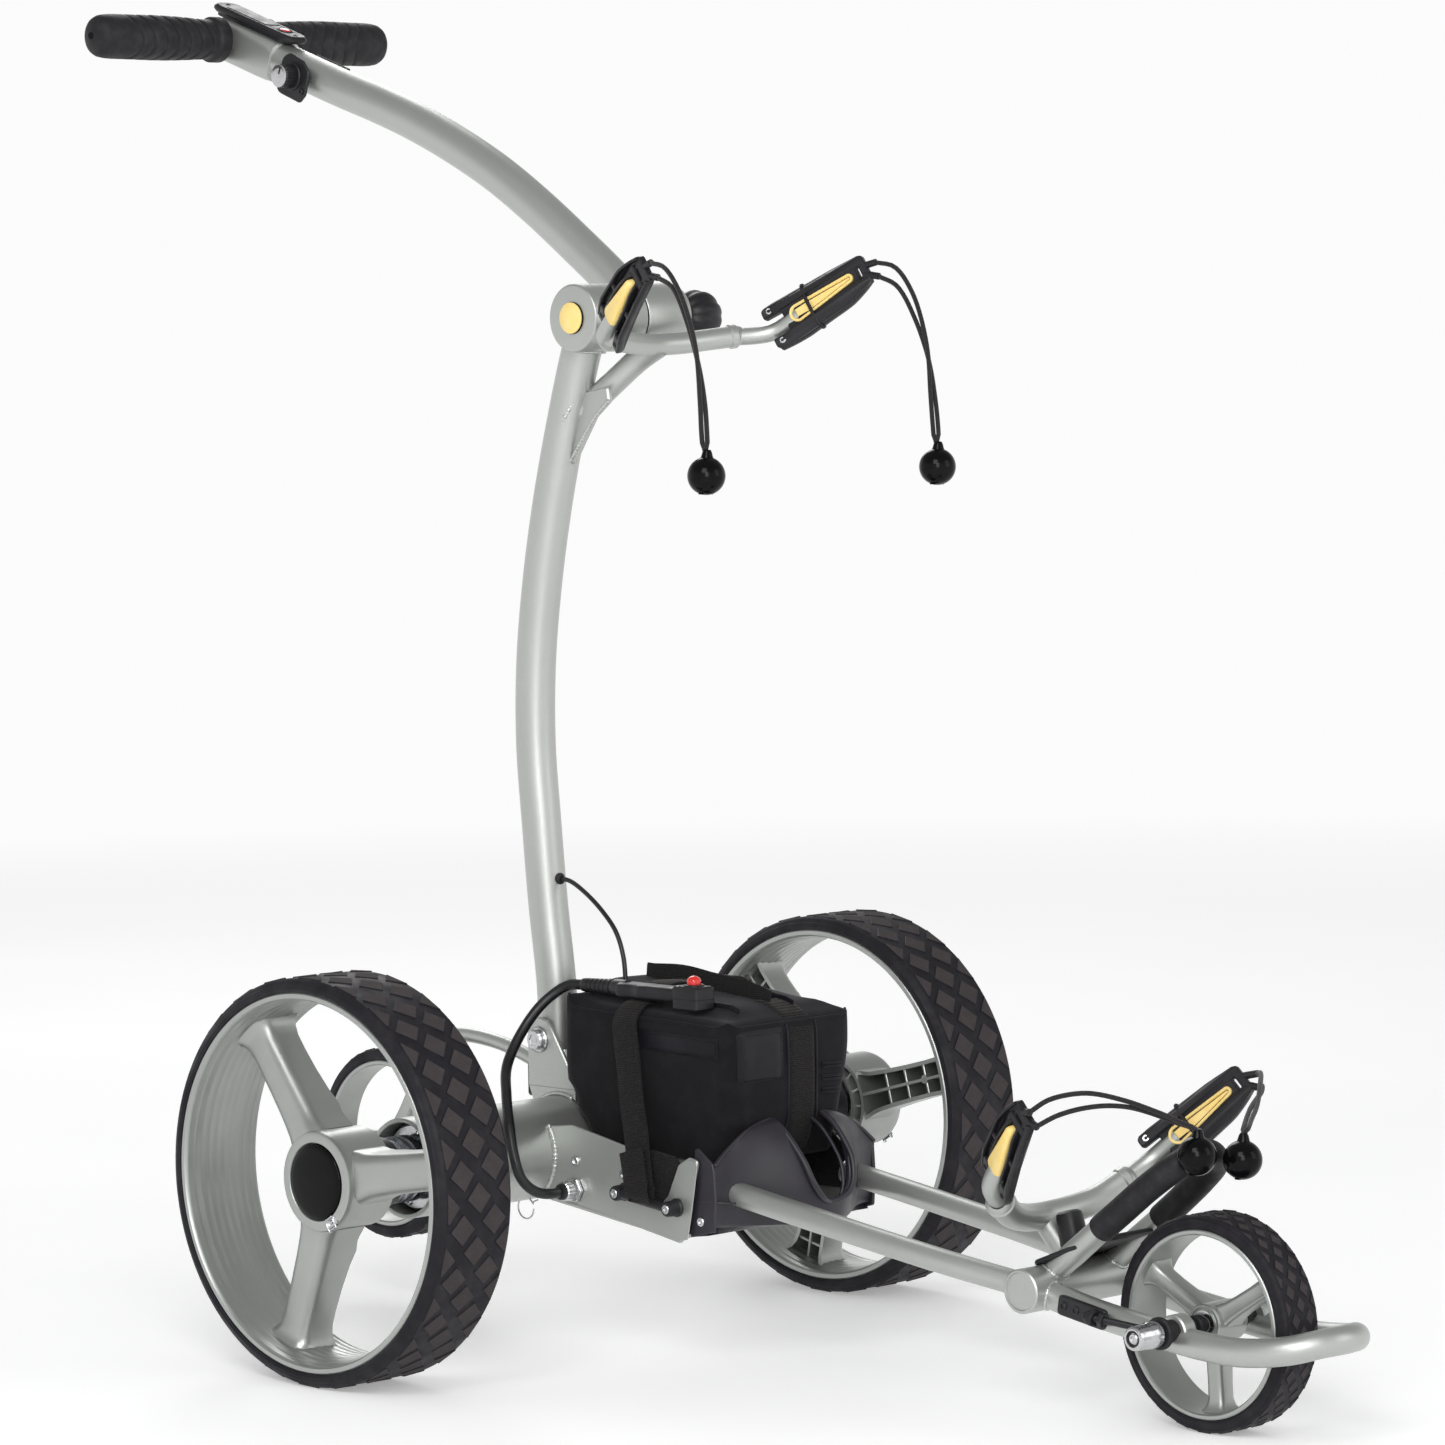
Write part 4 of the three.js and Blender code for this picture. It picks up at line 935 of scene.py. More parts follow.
def add_wheels():
    add_rear_wheel("right", -1, math.radians(8.5))
    add_rear_wheel("left", 1, math.radians(15))
    add_small_wheel("front", "front_wheel", FRONT_X, SMALL_R, 40.4, math.radians(32), 16.6)
    add_small_wheel("antitip", "antitip_wheel", *ANTITIP, 29.8, math.radians(60), 11.6)


# ---- welds, tubes and small hardware -------------------------------------------------------
def seam(origin, direction, radius, about, size):
    """The line where a round tube meets a bar of the given size that lies across the trolley."""
    d = Vector(direction).normalized()
    a = Vector(LEFT)
    count = 40
    u, v = axes_of(d, a)
    made = []
    for i in range(count + 1):
        t = math.tau * i / count
        p = Vector(origin) + (u * math.cos(t) + v * math.sin(t)) * radius
        w = p - Vector(about)
        w -= a * w.dot(a)
        e = d - a * d.dot(a)
        k = (w.dot(e)) ** 2 - e.dot(e) * (w.dot(w) - size * size)
        made.append(p + d * ((-w.dot(e) - math.sqrt(max(k, 0))) / e.dot(e)))
    return made


def barrel(shape, x, z, y0, y1, radius, edge=1.6, material=0, segments=72):
    """A round bar across the trolley with rounded rims."""
    profile = [(0, y0), (radius - edge, y0)]
    profile += [(radius - edge + edge * math.sin(a), y0 + edge * (1 - math.cos(a)))
                for a in (0.5, 1.0, 1.57)]
    profile += [(radius - edge + edge * math.cos(a), y1 - edge * (1 - math.sin(a)))
                for a in (0, 0.6, 1.1, 1.57)]
    profile += [(0, y1)]
    return shape.lathe(profile, (x, 0, z), LEFT, segments, material)


def collar(shape, at, axis, inner, outer, length, material=0):
    """A short sleeve round a tube, its two ends chamfered."""
    h = length / 2
    e = min(1.2, (outer - inner) * 0.5)
    profile = [(inner, -h), (outer - e, -h), (outer, e - h), (outer, h - e), (outer - e, h), (inner, h)]
    return shape.lathe(profile, at, axis, 40, material)


def hexagon(shape, at, axis, radius, length):
    """A hexagon nut or flange standing on at."""
    u, v = axes_of(axis)
    outline = [(radius * math.cos(k * math.pi / 3), radius * math.sin(k * math.pi / 3))
               for k in range(6)]
    centre = Vector(at) + Vector(axis).normalized() * length / 2
    return shape.slab(filleted(outline, 0.8, 3), centre, u, v, length, 0.5)


def knurled(shape, at, axis, radius, length, ridges, depth):
    """A round nut with ridges along it."""
    u, v = axes_of(axis)
    a = Vector(axis).normalized()
    count = ridges * 4
    rings = []
    for h, grow in ((0, -0.9), (0.9, 0), (length - 0.9, 0), (length, -0.9)):
        ring = []
        for i in range(count):
            t = math.tau * i / count
            r = radius + grow - depth * (0.5 + 0.5 * math.cos(ridges * t))
            ring.append(Vector(at) + a * h + (u * math.cos(t) + v * math.sin(t)) * r)
        rings.append(ring)
    return shape.rings(rings)


def threaded(shape, start, end, radius, pitch=1.2, material=0):
    """A rod with thread ridges along it."""
    a, b = Vector(start), Vector(end)
    count = int((b - a).length / pitch * 4)
    path = [a.lerp(b, i / count) for i in range(count + 1)]
    return shape.sweep(path, lambda s: radius - 0.35 * (0.5 + 0.5 * math.cos(s * count * math.pi / 2)),
                       16, material, ends=0.5)


def plane_line(points, y):
    """Points (x, z) standing along the trolley at y."""
    return [(x, y, z) for x, z in points]


# ---- mast and handle -----------------------------------------------------------------------
MAST_LINE = [
    (-24, 232), (-25, 282), (-33, 347), (-39, 412), (-44, 477), (-42, 542), (-33, 607),
    (-19, 672), (-1, 736), (16, 788), (24, 808),
]
HANDLE_LINE = [
    (24, 826), (-14, 855), (-42, 875), (-87, 906), (-134, 935), (-181, 959), (-229, 980),
    (-278, 998), (-327, 1014), (-390, 1036), (-452, 1058),
]


def add_mast():
    shape = Shape(SILVER, RECESS_SHADE)
    path = spline(plane_line(MAST_LINE, MAST_Y), 70)
    shape.sweep(path, MAST_R, 48, ends=0.8)
    barrel(shape, *FOLD, -53.5, 5.0, FOLD_R, 2.2)
    shape.made("mast_tube_piece", "mast", ["mast_tube"], 40)
    bead = Shape(WELD)
    bead.weld(seam((24, MAST_Y, 800), (0.45, 0, 0.9), MAST_R, FOLD_AT, FOLD_R), 1.5)
    bead.made("mast_weld", "mast")
    washer = Shape(BLACK).lathe([(6, 5.1), (26.2, 5.1), (26.2, 5.7), (6, 5.7)], FOLD_AT, LEFT, 64)
    washer.made("fold_washer", "mast")
    grommet = Shape(GRIP).lathe(
        [(1.95, -1.4), (4.2, -1.4), (4.6, -0.6), (4.6, 1.2), (3.6, 2.2), (1.95, 2.6)],
        (-19, MAST_Y, 369), (1, 0, 0.1), 24)
    grommet.made("mast_grommet", "mast")


ALONG = Vector((0.943, 0, -0.333)).normalized()
ABOVE = Vector((0.333, 0, 0.943)).normalized()
DIAL = (71, -18.3)  # along and above the head


def head_at(a, h, y=HANDLE_Y):
    """A point a along the cast head and h above it."""
    return Vector((-425, y, 1066)) + ALONG * a + ABOVE * h


def eased(value):
    """A smooth step from 0 to 1."""
    t = min(1, max(0, value))
    return t * t * (3 - 2 * t)


def add_handle():
    shape = Shape(SILVER)
    path = spline(plane_line(HANDLE_LINE, HANDLE_Y), 90)
    shape.sweep(path, MAST_R, 48, ends=0.8)
    barrel(shape, *FOLD, 5.8, 53.5, FOLD_R, 2.2)
    # The cast head: a squarer sleeve over the tube's end that takes the crossbar.
    run = [head_at(a, -17.6) for a in (34, 32, 26, 14, 0, -12, -24, -34, -42, -47, -50)]

    def head_size(share):
        grow = eased(share / 0.12)
        shrink = 1 - 0.28 * eased((share - 0.8) / 0.2)
        return ((14.8 + 2.1 * grow) * shrink, (15.6 + 2.4 * grow) * shrink)

    shape.sweep(run, head_size, 48, ends=1.0, hint=ABOVE, square=lambda s: 2.3 + 2.4 * eased(s / 0.3))
    barrel(shape, *BAR, HANDLE_Y - 150, HANDLE_Y + 150, 11, 1.5)
    shape.made("handle_tube_piece", "handle", ["handle_tube"], 40)
    bead = Shape(WELD)
    bead.weld(seam((15, HANDLE_Y, 832), (20, 0, -15), MAST_R, FOLD_AT, FOLD_R), 1.5)
    bead.made("handle_weld", "handle")
    for word, s in SIDES.items():
        add_grip(word, s)
    add_console()
    add_knob()


def add_grip(word, s):
    """A moulded grip: bulged, ringed with curved grooves, with a rounded flat end."""
    outline = [
        (11.5, 22), (18.2, 22), (19.2, 22.8), (19.4, 24), (19.4, 32), (18.6, 33.4), (17.2, 34.4),
        (16.9, 38), (17.4, 48), (18.2, 62), (18.9, 80), (19.1, 98), (18.9, 116), (18.8, 140),
        (18.4, 147.5), (17.6, 152.5), (16, 155.6), (13, 158), (9, 159.8), (5, 161), (3.2, 161.6),
    ]
    shape = Shape(GRIP, RECESS_SHADE)
    steps = []
    for (r0, h0), (r1, h1) in zip(outline, outline[1:]):
        count = max(1, round((h1 - h0) / 1.1))
        steps += [(r0 + (r1 - r0) * k / count, h0 + (h1 - h0) * k / count) for k in range(count)]
    steps.append(outline[-1])
    rings = []
    for r, h in steps:
        ring = []
        for i in range(48):
            t = math.tau * i / 48
            phase = (h + 5 * math.cos(2 * t + 0.6)) % 13.0 - 6.5
            grooved = eased((h - 38) / 4) * eased((130 - h) / 4)
            cut = 1.5 * grooved * math.exp(-(phase / 1.15) ** 2)
            ring.append((BAR[0] + (r - cut) * math.cos(t), HANDLE_Y + s * h,
                         BAR[1] + (r - cut) * math.sin(t)))
        rings.append(ring)
    shape.rings(rings)
    # A thin disc of painted shade, the near-black fill, on the middle of the end.
    centre = (BAR[0], HANDLE_Y + s * 161.9, BAR[1])
    shape.lathe([(0, 0), (3.1, 0), (2.9, 0.25), (0, 0.25)], centre, (0, s, 0), 20, 1)
    shape.made("grip_piece_" + word, "handle", ["grip_" + word], 60)


def add_console():
    shape = Shape(GLOSS, BLACK, RECESS_SHADE)
    top = filleted([(-54, -14), (46, -12), (53, -8), (53, 8), (46, 12), (-54, 14)],
                   [12, 7, 6, 6, 7, 12], 8)
    cross = Vector(LEFT)
    power = arc(32, 0, 5.4, 0, 360 * 23 / 24, 24)
    shape.slab(top, head_at(-6, 5.4), ALONG, -cross, 6.4, 2.2, [power], 1)
    foot = filleted([(-48, -11), (42, -10), (42, 10), (-48, 11)], 7, 6)
    shape.slab(foot, head_at(-6, 1.0), ALONG, -cross, 3.2, 0.6, material=1)
    panel = filleted([(-40, -9), (14, -8), (14, 8), (-40, 9)], 3, 4)
    shape.slab(panel, head_at(-4, 8.8), ALONG, -cross, 0.6, 0.2, material=1)
    shape.lathe([(5.45, -1.5), (5.45, 0.3), (6, 0.8), (6.8, 0.5), (7, -0.2), (7, -1.5)],
                head_at(26, 8.6), ABOVE, 36, 1)
    for a in (-52, 40):
        shape.screw(head_at(a, 8.4), ABOVE, 2.1, 0.7, 1)
    # The saddle block that clasps the tube and carries the speed dial.
    block = filleted([(-22.4, -18), (-15, -20), (-8, -19), (-8, -15.4), (-13, -11), (-16, -4),
                      (-16.6, 4), (-15.4, 10), (-20.4, 13)], [4, 3, 1.5, 1.5, 4, 6, 5, 2, 3], 4)
    shape.slab(block, head_at(72, -16), -cross, ABOVE, 46, 1.6, material=1)
    face = filleted([(-19, -19), (14, -20), (19, -12), (18, 8), (8, 15), (-10, 17), (-18, 11)],
                    [8, 4, 4, 5, 4, 8, 9], 5)
    shape.slab(face, head_at(73, -17, HANDLE_Y - 21.6), ALONG, ABOVE, 3, 0.9, material=1)
    shape.screw(head_at(87, -27, HANDLE_Y - 23), (0, -1, 0), 2.6, 1.4, 1)
    shape.lathe([(3.6, -1), (12.2, -1), (12.2, 1.0), (11.4, 1.8), (3.6, 1.8)],
                head_at(*DIAL, HANDLE_Y - 23), (0, -1, 0), 40, 1)
    shape.made("console_piece", "handle", ["console"], 38)
    button = Shape(RED).lathe(
        [(0, -4), (5.1, -4), (5.1, 0.9), (4.4, 1.6), (2.6, 2.0), (0, 2.1)], head_at(26, 7.8), ABOVE, 36)
    button.made("power_button_piece", "power", ["power_button"])
    dial = Shape(BLACK, STEEL, RECESS_SHADE)
    centre = head_at(*DIAL, HANDLE_Y - 22.6)
    knurled(dial, centre + Vector((0, 0.6, 0)), (0, -1, 0), 9.9, 14.2, 22, 0.55)
    face = [(0, 13.4), (9.2, 13.4), (9.5, 14.6), (8.2, 15.0), (5.6, 14.8), (3, 15.0), (0, 15)]
    dial.lathe(face, centre, (0, -1, 0), 40, 1)
    # The mark on the dial's face: a thin bar of painted shade in the near-black fill.
    dial.box(centre + Vector((0, -15.1, 0)) + ABOVE * 4.3, (1.1, 5.6, 0.4), ALONG, ABOVE, 0.1, 0.3, 2)
    dial.made("speed_dial_piece", "dial", ["speed_dial"])


def add_knob():
    shape = Shape(BLACK, YELLOW, GLOSS)
    for profile, sides, material in (
        ([(0, -53.4), (12.7, -53.4), (12.7, -54.4), (12.1, -55), (0, -55)], 56, 2),
        ([(0, -54.6), (12.2, -54.6), (12.3, -55.8), (11.4, -56.5), (0, -56.8)], 56, 1),
        ([(0, 54.1), (12, 54.1), (12, 60), (10.6, 61.5), (10.4, 66), (0, 66)], 40, 0),
    ):
        shape.lathe(profile, FOLD_AT, LEFT, sides, material)
    rings = []
    for k in range(19):
        a = math.radians(-64 + 148 * k / 18)
        r, h = 21.6 * math.cos(a), 84 + 20.6 * math.sin(a)
        ring = []
        for i in range(72):
            t = math.tau * i / 72
            lobe = 1 - 0.07 * (0.5 + 0.5 * math.cos(9 * t)) ** 2 * min(1, math.cos(a) * 1.4)
            ring.append((FOLD[0] + r * lobe * math.cos(t), min(h, 104.2),
                         FOLD[1] + r * lobe * math.sin(t)))
        rings.append(ring)
    shape.rings(rings)
    shape.made("lock_knob_piece", "knob", ["lock_knob"], 50)


# ---- cradles and pads ----------------------------------------------------------------------
UPPER_WIDE = [(92, 68, 800.5), (85, 50, 798.5), (79, 26, 796), (76, 4, 795)]
UPPER_LEAD = [(84, 52, 799), (92, 68, 800)]
UPPER_PAD = ((150.5, 110, 828), (0.782, 0.36, 0.511))
LOWER_WIDE = [(492, 70, 161), (483, 48, 149), (475, 24, 143), (471, 3, 141)]
LOWER_LEAD = [(484, 50, 150), (490, 66, 159)]
LOWER_PAD = ((533, 109.5, 208), (0.645, 0.39, 0.657))
PAD_HALF = 48
STRUT = [(12, -22, 742), (34, -14, 762), (58, -3, 784), (78, 0, 795)]


class PadFrame:
    """A pad's own axes: u along the bag's girth, w along the bag, n outwards."""

    def __init__(self, place_of, s):
        (x, y, z), (a, b, c) = place_of
        self.centre = Vector((x, y * s, z))
        self.u = Vector((a, b * s, c)).normalized()
        across = self.u.cross(Vector((-0.524, 0, 0.852))).normalized()
        self.w = across.cross(self.u).normalized()
        self.n = across * (1 if across.y * s > 0 else -1)

    def at(self, a, b=0.0, c=0.0):
        return self.centre + self.u * a + self.w * b + self.n * c

    def bent(self, p):
        """A local point on the pad, whose two ends bend inwards."""
        return self.at(p.x, p.y, p.z - 0.2 * max(0, abs(p.x) - 22))


def add_pad(name, level, s, place_of, body, cords):
    """A moulded pad: a thick plate with a fork round the rod and a yellow insert."""
    frame_of = PadFrame(place_of, s)
    shape = Shape(BLACK, YELLOW, GRIP, STEEL)
    flat = (AHEAD, LEFT)
    outline = filleted(
        [(-48, -8.8), (-48, -18), (-36, -19.2), (20, -16.8), (44, -12.6), (48, -10.5), (48, 10.5),
         (44, 12.6), (20, 16.8), (-36, 19.2), (-48, 18), (-48, 8.8), (-33, 8.8), (-33, -8.8)],
        [2, 4, 3, 4, 4, 3, 3, 4, 4, 3, 4, 2, 2, 2], 4)
    hole = filleted([(38, -4.6), (41, -4.6), (41, 4.6), (38, 4.6)], 1, 3)
    shape.slab(outline, (0, 0, -0.4), *flat, 6.2, 1.0, [hole])
    for b in (-1, 1):
        rim = [(-46, b * 17.8, 1.6), (-34, b * 18.3, 1.8), (0, b * 16.9, 1.8), (20, b * 15.9, 1.8),
               (36, b * 13.2, 1.8), (46, b * 10.4, 1.6)]
        rib = [(-24, b * 9.4, 1.6), (0, b * 9.2, 1.8), (24, b * 6.4, 1.8), (34, b * 4.4, 1.4)]
        for line, count, size in ((rim, 24, (1.5, 3.2)), (rib, 16, (1.3, 3.0))):
            shape.sweep(spline(line, count), size, 12, ends=1.0, hint=UP, square=3)
        shape.box((-38, b * 13.6, 0), (19, 7.6, 8.4), *flat, 1.0, 2.4)
        shape.screw((-41, b * 13.6, 4.0), UP, 2.2, 0.9, 0)
        shape.screw((-41, b * 13.6, -4.0), (0, 0, -1), 2.6, 0.9, 3)
        shape.box((1.5, b * 13.6, 1.0), (4, 9, 5), *flat, 0.8, 1)
    shape.box((36, 0, 1.4), (5, 20, 4.4), *flat, 0.8, 1.6)
    # The yellow insert: a solid teardrop outside and an open channel inside.
    drop = arc(-17, 0, 8.6, 98, 262, 14) + arc(27, 0, 3.6, -80, 80, 9)
    channel = arc(-20, 0, 7.6, 98, 262, 14) + arc(30, 0, 3.8, -80, 80, 9)
    for around, levels in (
        (drop, ((0.4, 0), (4.6, 0), (5.8, 0.5), (6.6, 1.3), (7.0, 2.4))),
        (channel, ((-3.2, 0), (-6.2, 0), (-6.8, 0.5), (-6.8, 1.7), (-6.3, 2.2), (-4.4, 2.6))),
        (channel, ((-3.3, 3.0), (-5.3, 3.0), (-5.6, 3.3))),
    ):
        shape.rings([[(x, y, height) for x, y in offset(around, inset)] for height, inset in levels], 1)
    shape.points = [frame_of.bent(p) for p in shape.points]
    for start, b in zip(cords, (3.6, -3.6)):
        anchor = frame_of.bent(Vector((43, b, -1)))
        direction = Vector(start) - anchor
        shape.sweep([anchor, anchor.lerp(Vector(start), 0.5), Vector(start) + direction.normalized()],
                    2.9, 14, 0, ends=0.6)
    if s > 0:
        ring = [(-9, -19.8, 0), (-9, -18, 4.8), (-9, -8, 8), (-9, 0, 9), (-9, 8, 8), (-9, 18, 4.8),
                (-9, 19.8, 0), (-9, 18, -4.4), (-9, 8, -7.6), (-9, 0, -8.2), (-9, -8, -7.6),
                (-9, -18, -4.4)]
        loop = [frame_of.bent(Vector(p)) for p in ring]
        shape.sweep(spline([*loop, loop[0]], 40), 1.5, 10, 2, ends=0)
    shape.made(name, body, [f"{level}_pad_{'left' if s > 0 else 'right'}"], 35)


def add_cradle(name, level, wide, lead, pad_place, body, extra):
    """A U of silver tube, stepping down through collars to the thinner rods of the pads."""
    shape = Shape(SILVER)
    tube, thin = (8.6, 7.0) if level == "upper" else (10.5, 7.5)
    arc_points = [*side(wide, -1), *side(wide, 1)[::-1]]
    shape.sweep(spline(arc_points, 60), tube, 36, ends=2.0)
    for s in (-1, 1):
        frame_of = PadFrame(pad_place, s)
        rod = [*side(lead, s), frame_of.at(-PAD_HALF), frame_of.at(-21)]
        line = spline(rod, 26)
        shape.sweep(line, thin, 28, ends=2.2)
        end = Vector(side([wide[0]], s)[0])
        outward = (end - Vector(side([wide[1]], s)[0])).normalized()
        inner = thin - 0.1
        collar(shape, end - outward * 0.6, outward, inner, tube + 1.1, 7)
        cone = [(tube - 0.1, 0), (tube - 0.7, 2.2), (inner, 4.6), (inner, 0)]
        shape.lathe(cone, end + outward * 2.8, outward, 36)
    extra(shape)
    shape.made(name, body, [level + "_cradle"], 40)


def add_cradles():
    def strut(shape):
        shape.sweep(spline(STRUT, 30), 10, 32, ends=1.0)
        gusset = filleted([(1, 700), (8, 702), (22, 722), (34, 739), (50, 751), (48, 763), (20, 758),
                           (2, 735)], 3, 4)
        shape.upright(gusset, MAST_Y, 5, 1.2)

    def post(shape):
        shape.sweep([(472, 0, 138), (486, 0, 122), (500, 0, 106)], 9, 32, ends=0.8)

    add_cradle("upper_cradle_piece", "upper", UPPER_WIDE, UPPER_LEAD, UPPER_PAD, "mast", strut)
    add_cradle("lower_cradle_piece", "lower", LOWER_WIDE, LOWER_LEAD, LOWER_PAD, "chassis", post)
    bead = Shape(WELD)
    bead.weld([(-1, -36, 724), (6, -39, 734), (14, -36, 748), (18, -28, 757), (17, -17, 757),
               (11, -13, 748), (5, -14, 736)], 2.0)
    bead.weld([(66, -10, 787), (64, -2, 790), (66, 8, 794), (72, 11, 802)], 1.6)
    bead.weld([(3, -29.4, 702), (12, -30, 712), (24, -30, 727), (37, -30, 741), (50, -29, 752)], 1.5)
    bead.made("upper_cradle_welds", "mast")
    for word, s in SIDES.items():
        upper = side([UPPER_CORD["near"][0], UPPER_CORD["far"][0]], s)
        add_pad("upper_pad_piece_" + word, "upper", s, UPPER_PAD, "mast", upper)
        lower = [LOWER_CORD[word]["near"][0], LOWER_CORD[word]["far"][0]]
        add_pad("lower_pad_piece_" + word, "lower", s, LOWER_PAD, "chassis", lower)


# ---- front moulding, frame and front loop --------------------------------------------------
FRAME_TUBE = [(205, 66, 142.4), (310, 65, 126.8), (430, 60, 108.5), (488.5, 50, 98.6)]
CROSS_AT = (506, 0, 96)
LOOP_HALF = [
    (523, 45, 91), (560, 45, 84), (610, 45, 77), (660, 45, 71), (700, 45, 70), (734, 36, 74),
    (752, 18, 79),
]
HOOP_HALF = [(557, 34, 143), (580, 33, 161), (601, 31, 178), (617, 25, 191), (625, 13, 199)]
HOOP_TIP = (628, 0, 202)
TRAY_TOP = 196
TRAY_MIDDLE = 138
SCOOP = [(252, 0, 131), (254, 8, 133), (256, 15, 137), (255, 21, 145), (252.5, 24, 153),
         (248.5, 26, 163), (242, 27, 172), (234, 27.6, 181), (225, 28, 189), (215, 28, 194.5)]


def tray_front(y):
    """How far forward the moulding bulges beside the middle line."""
    return 212.7 + 43.3 * (1 - eased(abs(y) / 86) ** 1.15)


def tray_edge(y):
    """Height of the moulding's top edge, and of the scoop's edge near the middle."""
    away = abs(y)
    if away >= 28:
        t = (away - 28) / 62
        return 195 - 31 * (0.55 * t + 0.45 * t * t) + 3 * math.sin(math.pi * t)
    for (_, y0, z0), (_, y1, z1) in zip(SCOOP, SCOOP[1:]):
        if away <= y1 or y1 == 28:
            share = min(1, (away - y0) / max(0.01, y1 - y0))
            return z0 + (z1 - z0) * share
    return 195


def tray_skin(y, z):
    """The outer surface at a height: upright low down, leaning back over the bulge."""
    bulge = tray_front(y) - 214
    if z <= TRAY_MIDDLE:
        return 214 + bulge - 3.5 * ((TRAY_MIDDLE - z) / 22) ** 2
    top = TRAY_TOP if abs(y) < 28 else tray_edge(y) + 1
    rise = min(1, (z - TRAY_MIDDLE) / (top - TRAY_MIDDLE))
    return 214 + bulge * math.sqrt(max(0, 1 - rise * rise))


def add_front_tray():
    """The black moulding: a bulged bowl with a scooped opening and a flat wall on each side."""
    shape = Shape(TRAY, RECESS_SHADE, STEEL)
    columns = [0, 4, 8, 11, 14, 17, 19.5, 21.5, 23, 24.2, 25.2, 26, 26.6, 27.1, 27.5, 27.8, 28.4,
               30, 33, 37, 42, 47, 52, 57, 62, 67, 72, 77, 82, 86, 89.6]
    rings = []
    for y in [-c for c in columns[:0:-1]] + columns:
        edge = tray_edge(y)
        steps = [118 + (edge - 118) * math.sin(math.pi / 2 * k / 16) for k in range(17)]
        front = tray_skin(y, 118)
        ring = [(187, 107.5), (206, 110.2), (front - 7, 114.6), (front - 2, 115.6)]
        ring += [(tray_skin(y, z), z) for z in steps]
        ring.append((tray_skin(y, edge) - 1.8, edge + 0.9))
        ring += [(max(210, tray_skin(y, z) - 3.6), z - 0.6) for z in steps[::-1]]
        ring += [(206, 120), (187, 112)]
        rings.append([(x, y, z) for x, z in ring])
    shape.rings(rings)
    lip = [(x + 0.6, -y, z) for x, y, z in SCOOP[::-1]] + [(x + 0.6, y, z) for x, y, z in SCOOP[1:]]
    shape.sweep(spline(lip, 90), 2.5, 14, 0, ends=1.6)
    inner = [(x - 7, y * 0.8, z - 4) for x, y, z in lip]
    shape.sweep(spline(inner, 70), 1.6, 10, 0, ends=1.0)
    for s in (-1, 1):
        top = [(214, s * y, tray_edge(y)) for y in (28, 36, 46, 56, 66, 76, 86, 89)]
        shape.sweep(spline(top, 40), 1.5, 10, 0, ends=1.0)
        wing = filleted([(187, 107), (213, 113.6), (215, 138), (213.6, 160), (212.4, 165.6),
                         (196.4, 177.2), (193, 176), (189, 140)], [3, 3, 6, 4, 2, 1.5, 1.5, 8], 4)
        shape.upright(wing, s * 88.6, 3, 0.8)
        shape.screw((199, s * 89.9, 120.5), (0, s, 0), 3.6, 1.8, 2)
        crease = [(x, s * (90 - 0.4), 137) for x in (190, 200, 208)]
        shape.sweep([*crease, (215.5, s * 84, 136), (221, s * 74, 135)], 0.8, 8, 0, ends=0.5)
    shape.made("front_tray_piece", "chassis", ["front_tray"], 42)


def add_front():
    add_front_tray()
    for word, s in SIDES.items():
        tube = Shape(SILVER).sweep(spline(side(FRAME_TUBE, s), 40), FRAME_TUBE_R, 40, ends=0.5)
        tube.made("frame_tube_piece_" + word, "chassis", ["frame_tube_" + word])
    cross = Shape(SILVER)
    profile = [(0, -64.8), (13.6, -64.8), (14.2, -66), (15.6, -66), (CROSS_R, -64.9)]
    profile += [(r, -h) for r, h in profile[::-1]]
    cross.lathe(profile, CROSS_AT, LEFT, 64)
    for s in (-1, 1):
        cross.sweep([(CROSS_AT[0] + 6, s * 34, CROSS_AT[2] + 12), (533, s * 34, 124.2), (557, s * 34, 143)],
                    LEG_R, 32, ends=1.2)
    cross.made("cross_tube_piece", "chassis", ["cross_tube"])
    bead = Shape(WELD)
    for s in (-1, 1):
        end = side(FRAME_TUBE, s)
        aim = Vector(end[3]) - Vector(end[2])
        bead.weld(seam(end[2], aim, FRAME_TUBE_R, CROSS_AT, CROSS_R), 1.5)
        start = side(LOOP_HALF, s)[:2]
        aim = Vector(start[0]) - Vector(start[1])
        bead.weld(seam(start[1], aim, LOOP_R, CROSS_AT, CROSS_R), 1.5)
        bead.weld(seam((554, s * 34, 140.5), (-42, 0, -32.5), LEG_R, CROSS_AT, CROSS_R), 1.3)
    bead.made("front_welds", "chassis")
    loop = Shape(SILVER)
    start = [(518, 45, 92), *LOOP_HALF[1:]]
    loop.sweep(spline([*side(start, -1), (757, 0, 80), *side(start, 1)[::-1]], 120), LOOP_R, 40)
    for s in (-1, 1):
        collar(loop, (FRONT_X, s * 45, 79), LEFT, 5.2, 12.6, 13.4)
    loop.made("front_loop_piece", "chassis", ["front_loop"])
    add_front_axle()
    add_bag_rest()


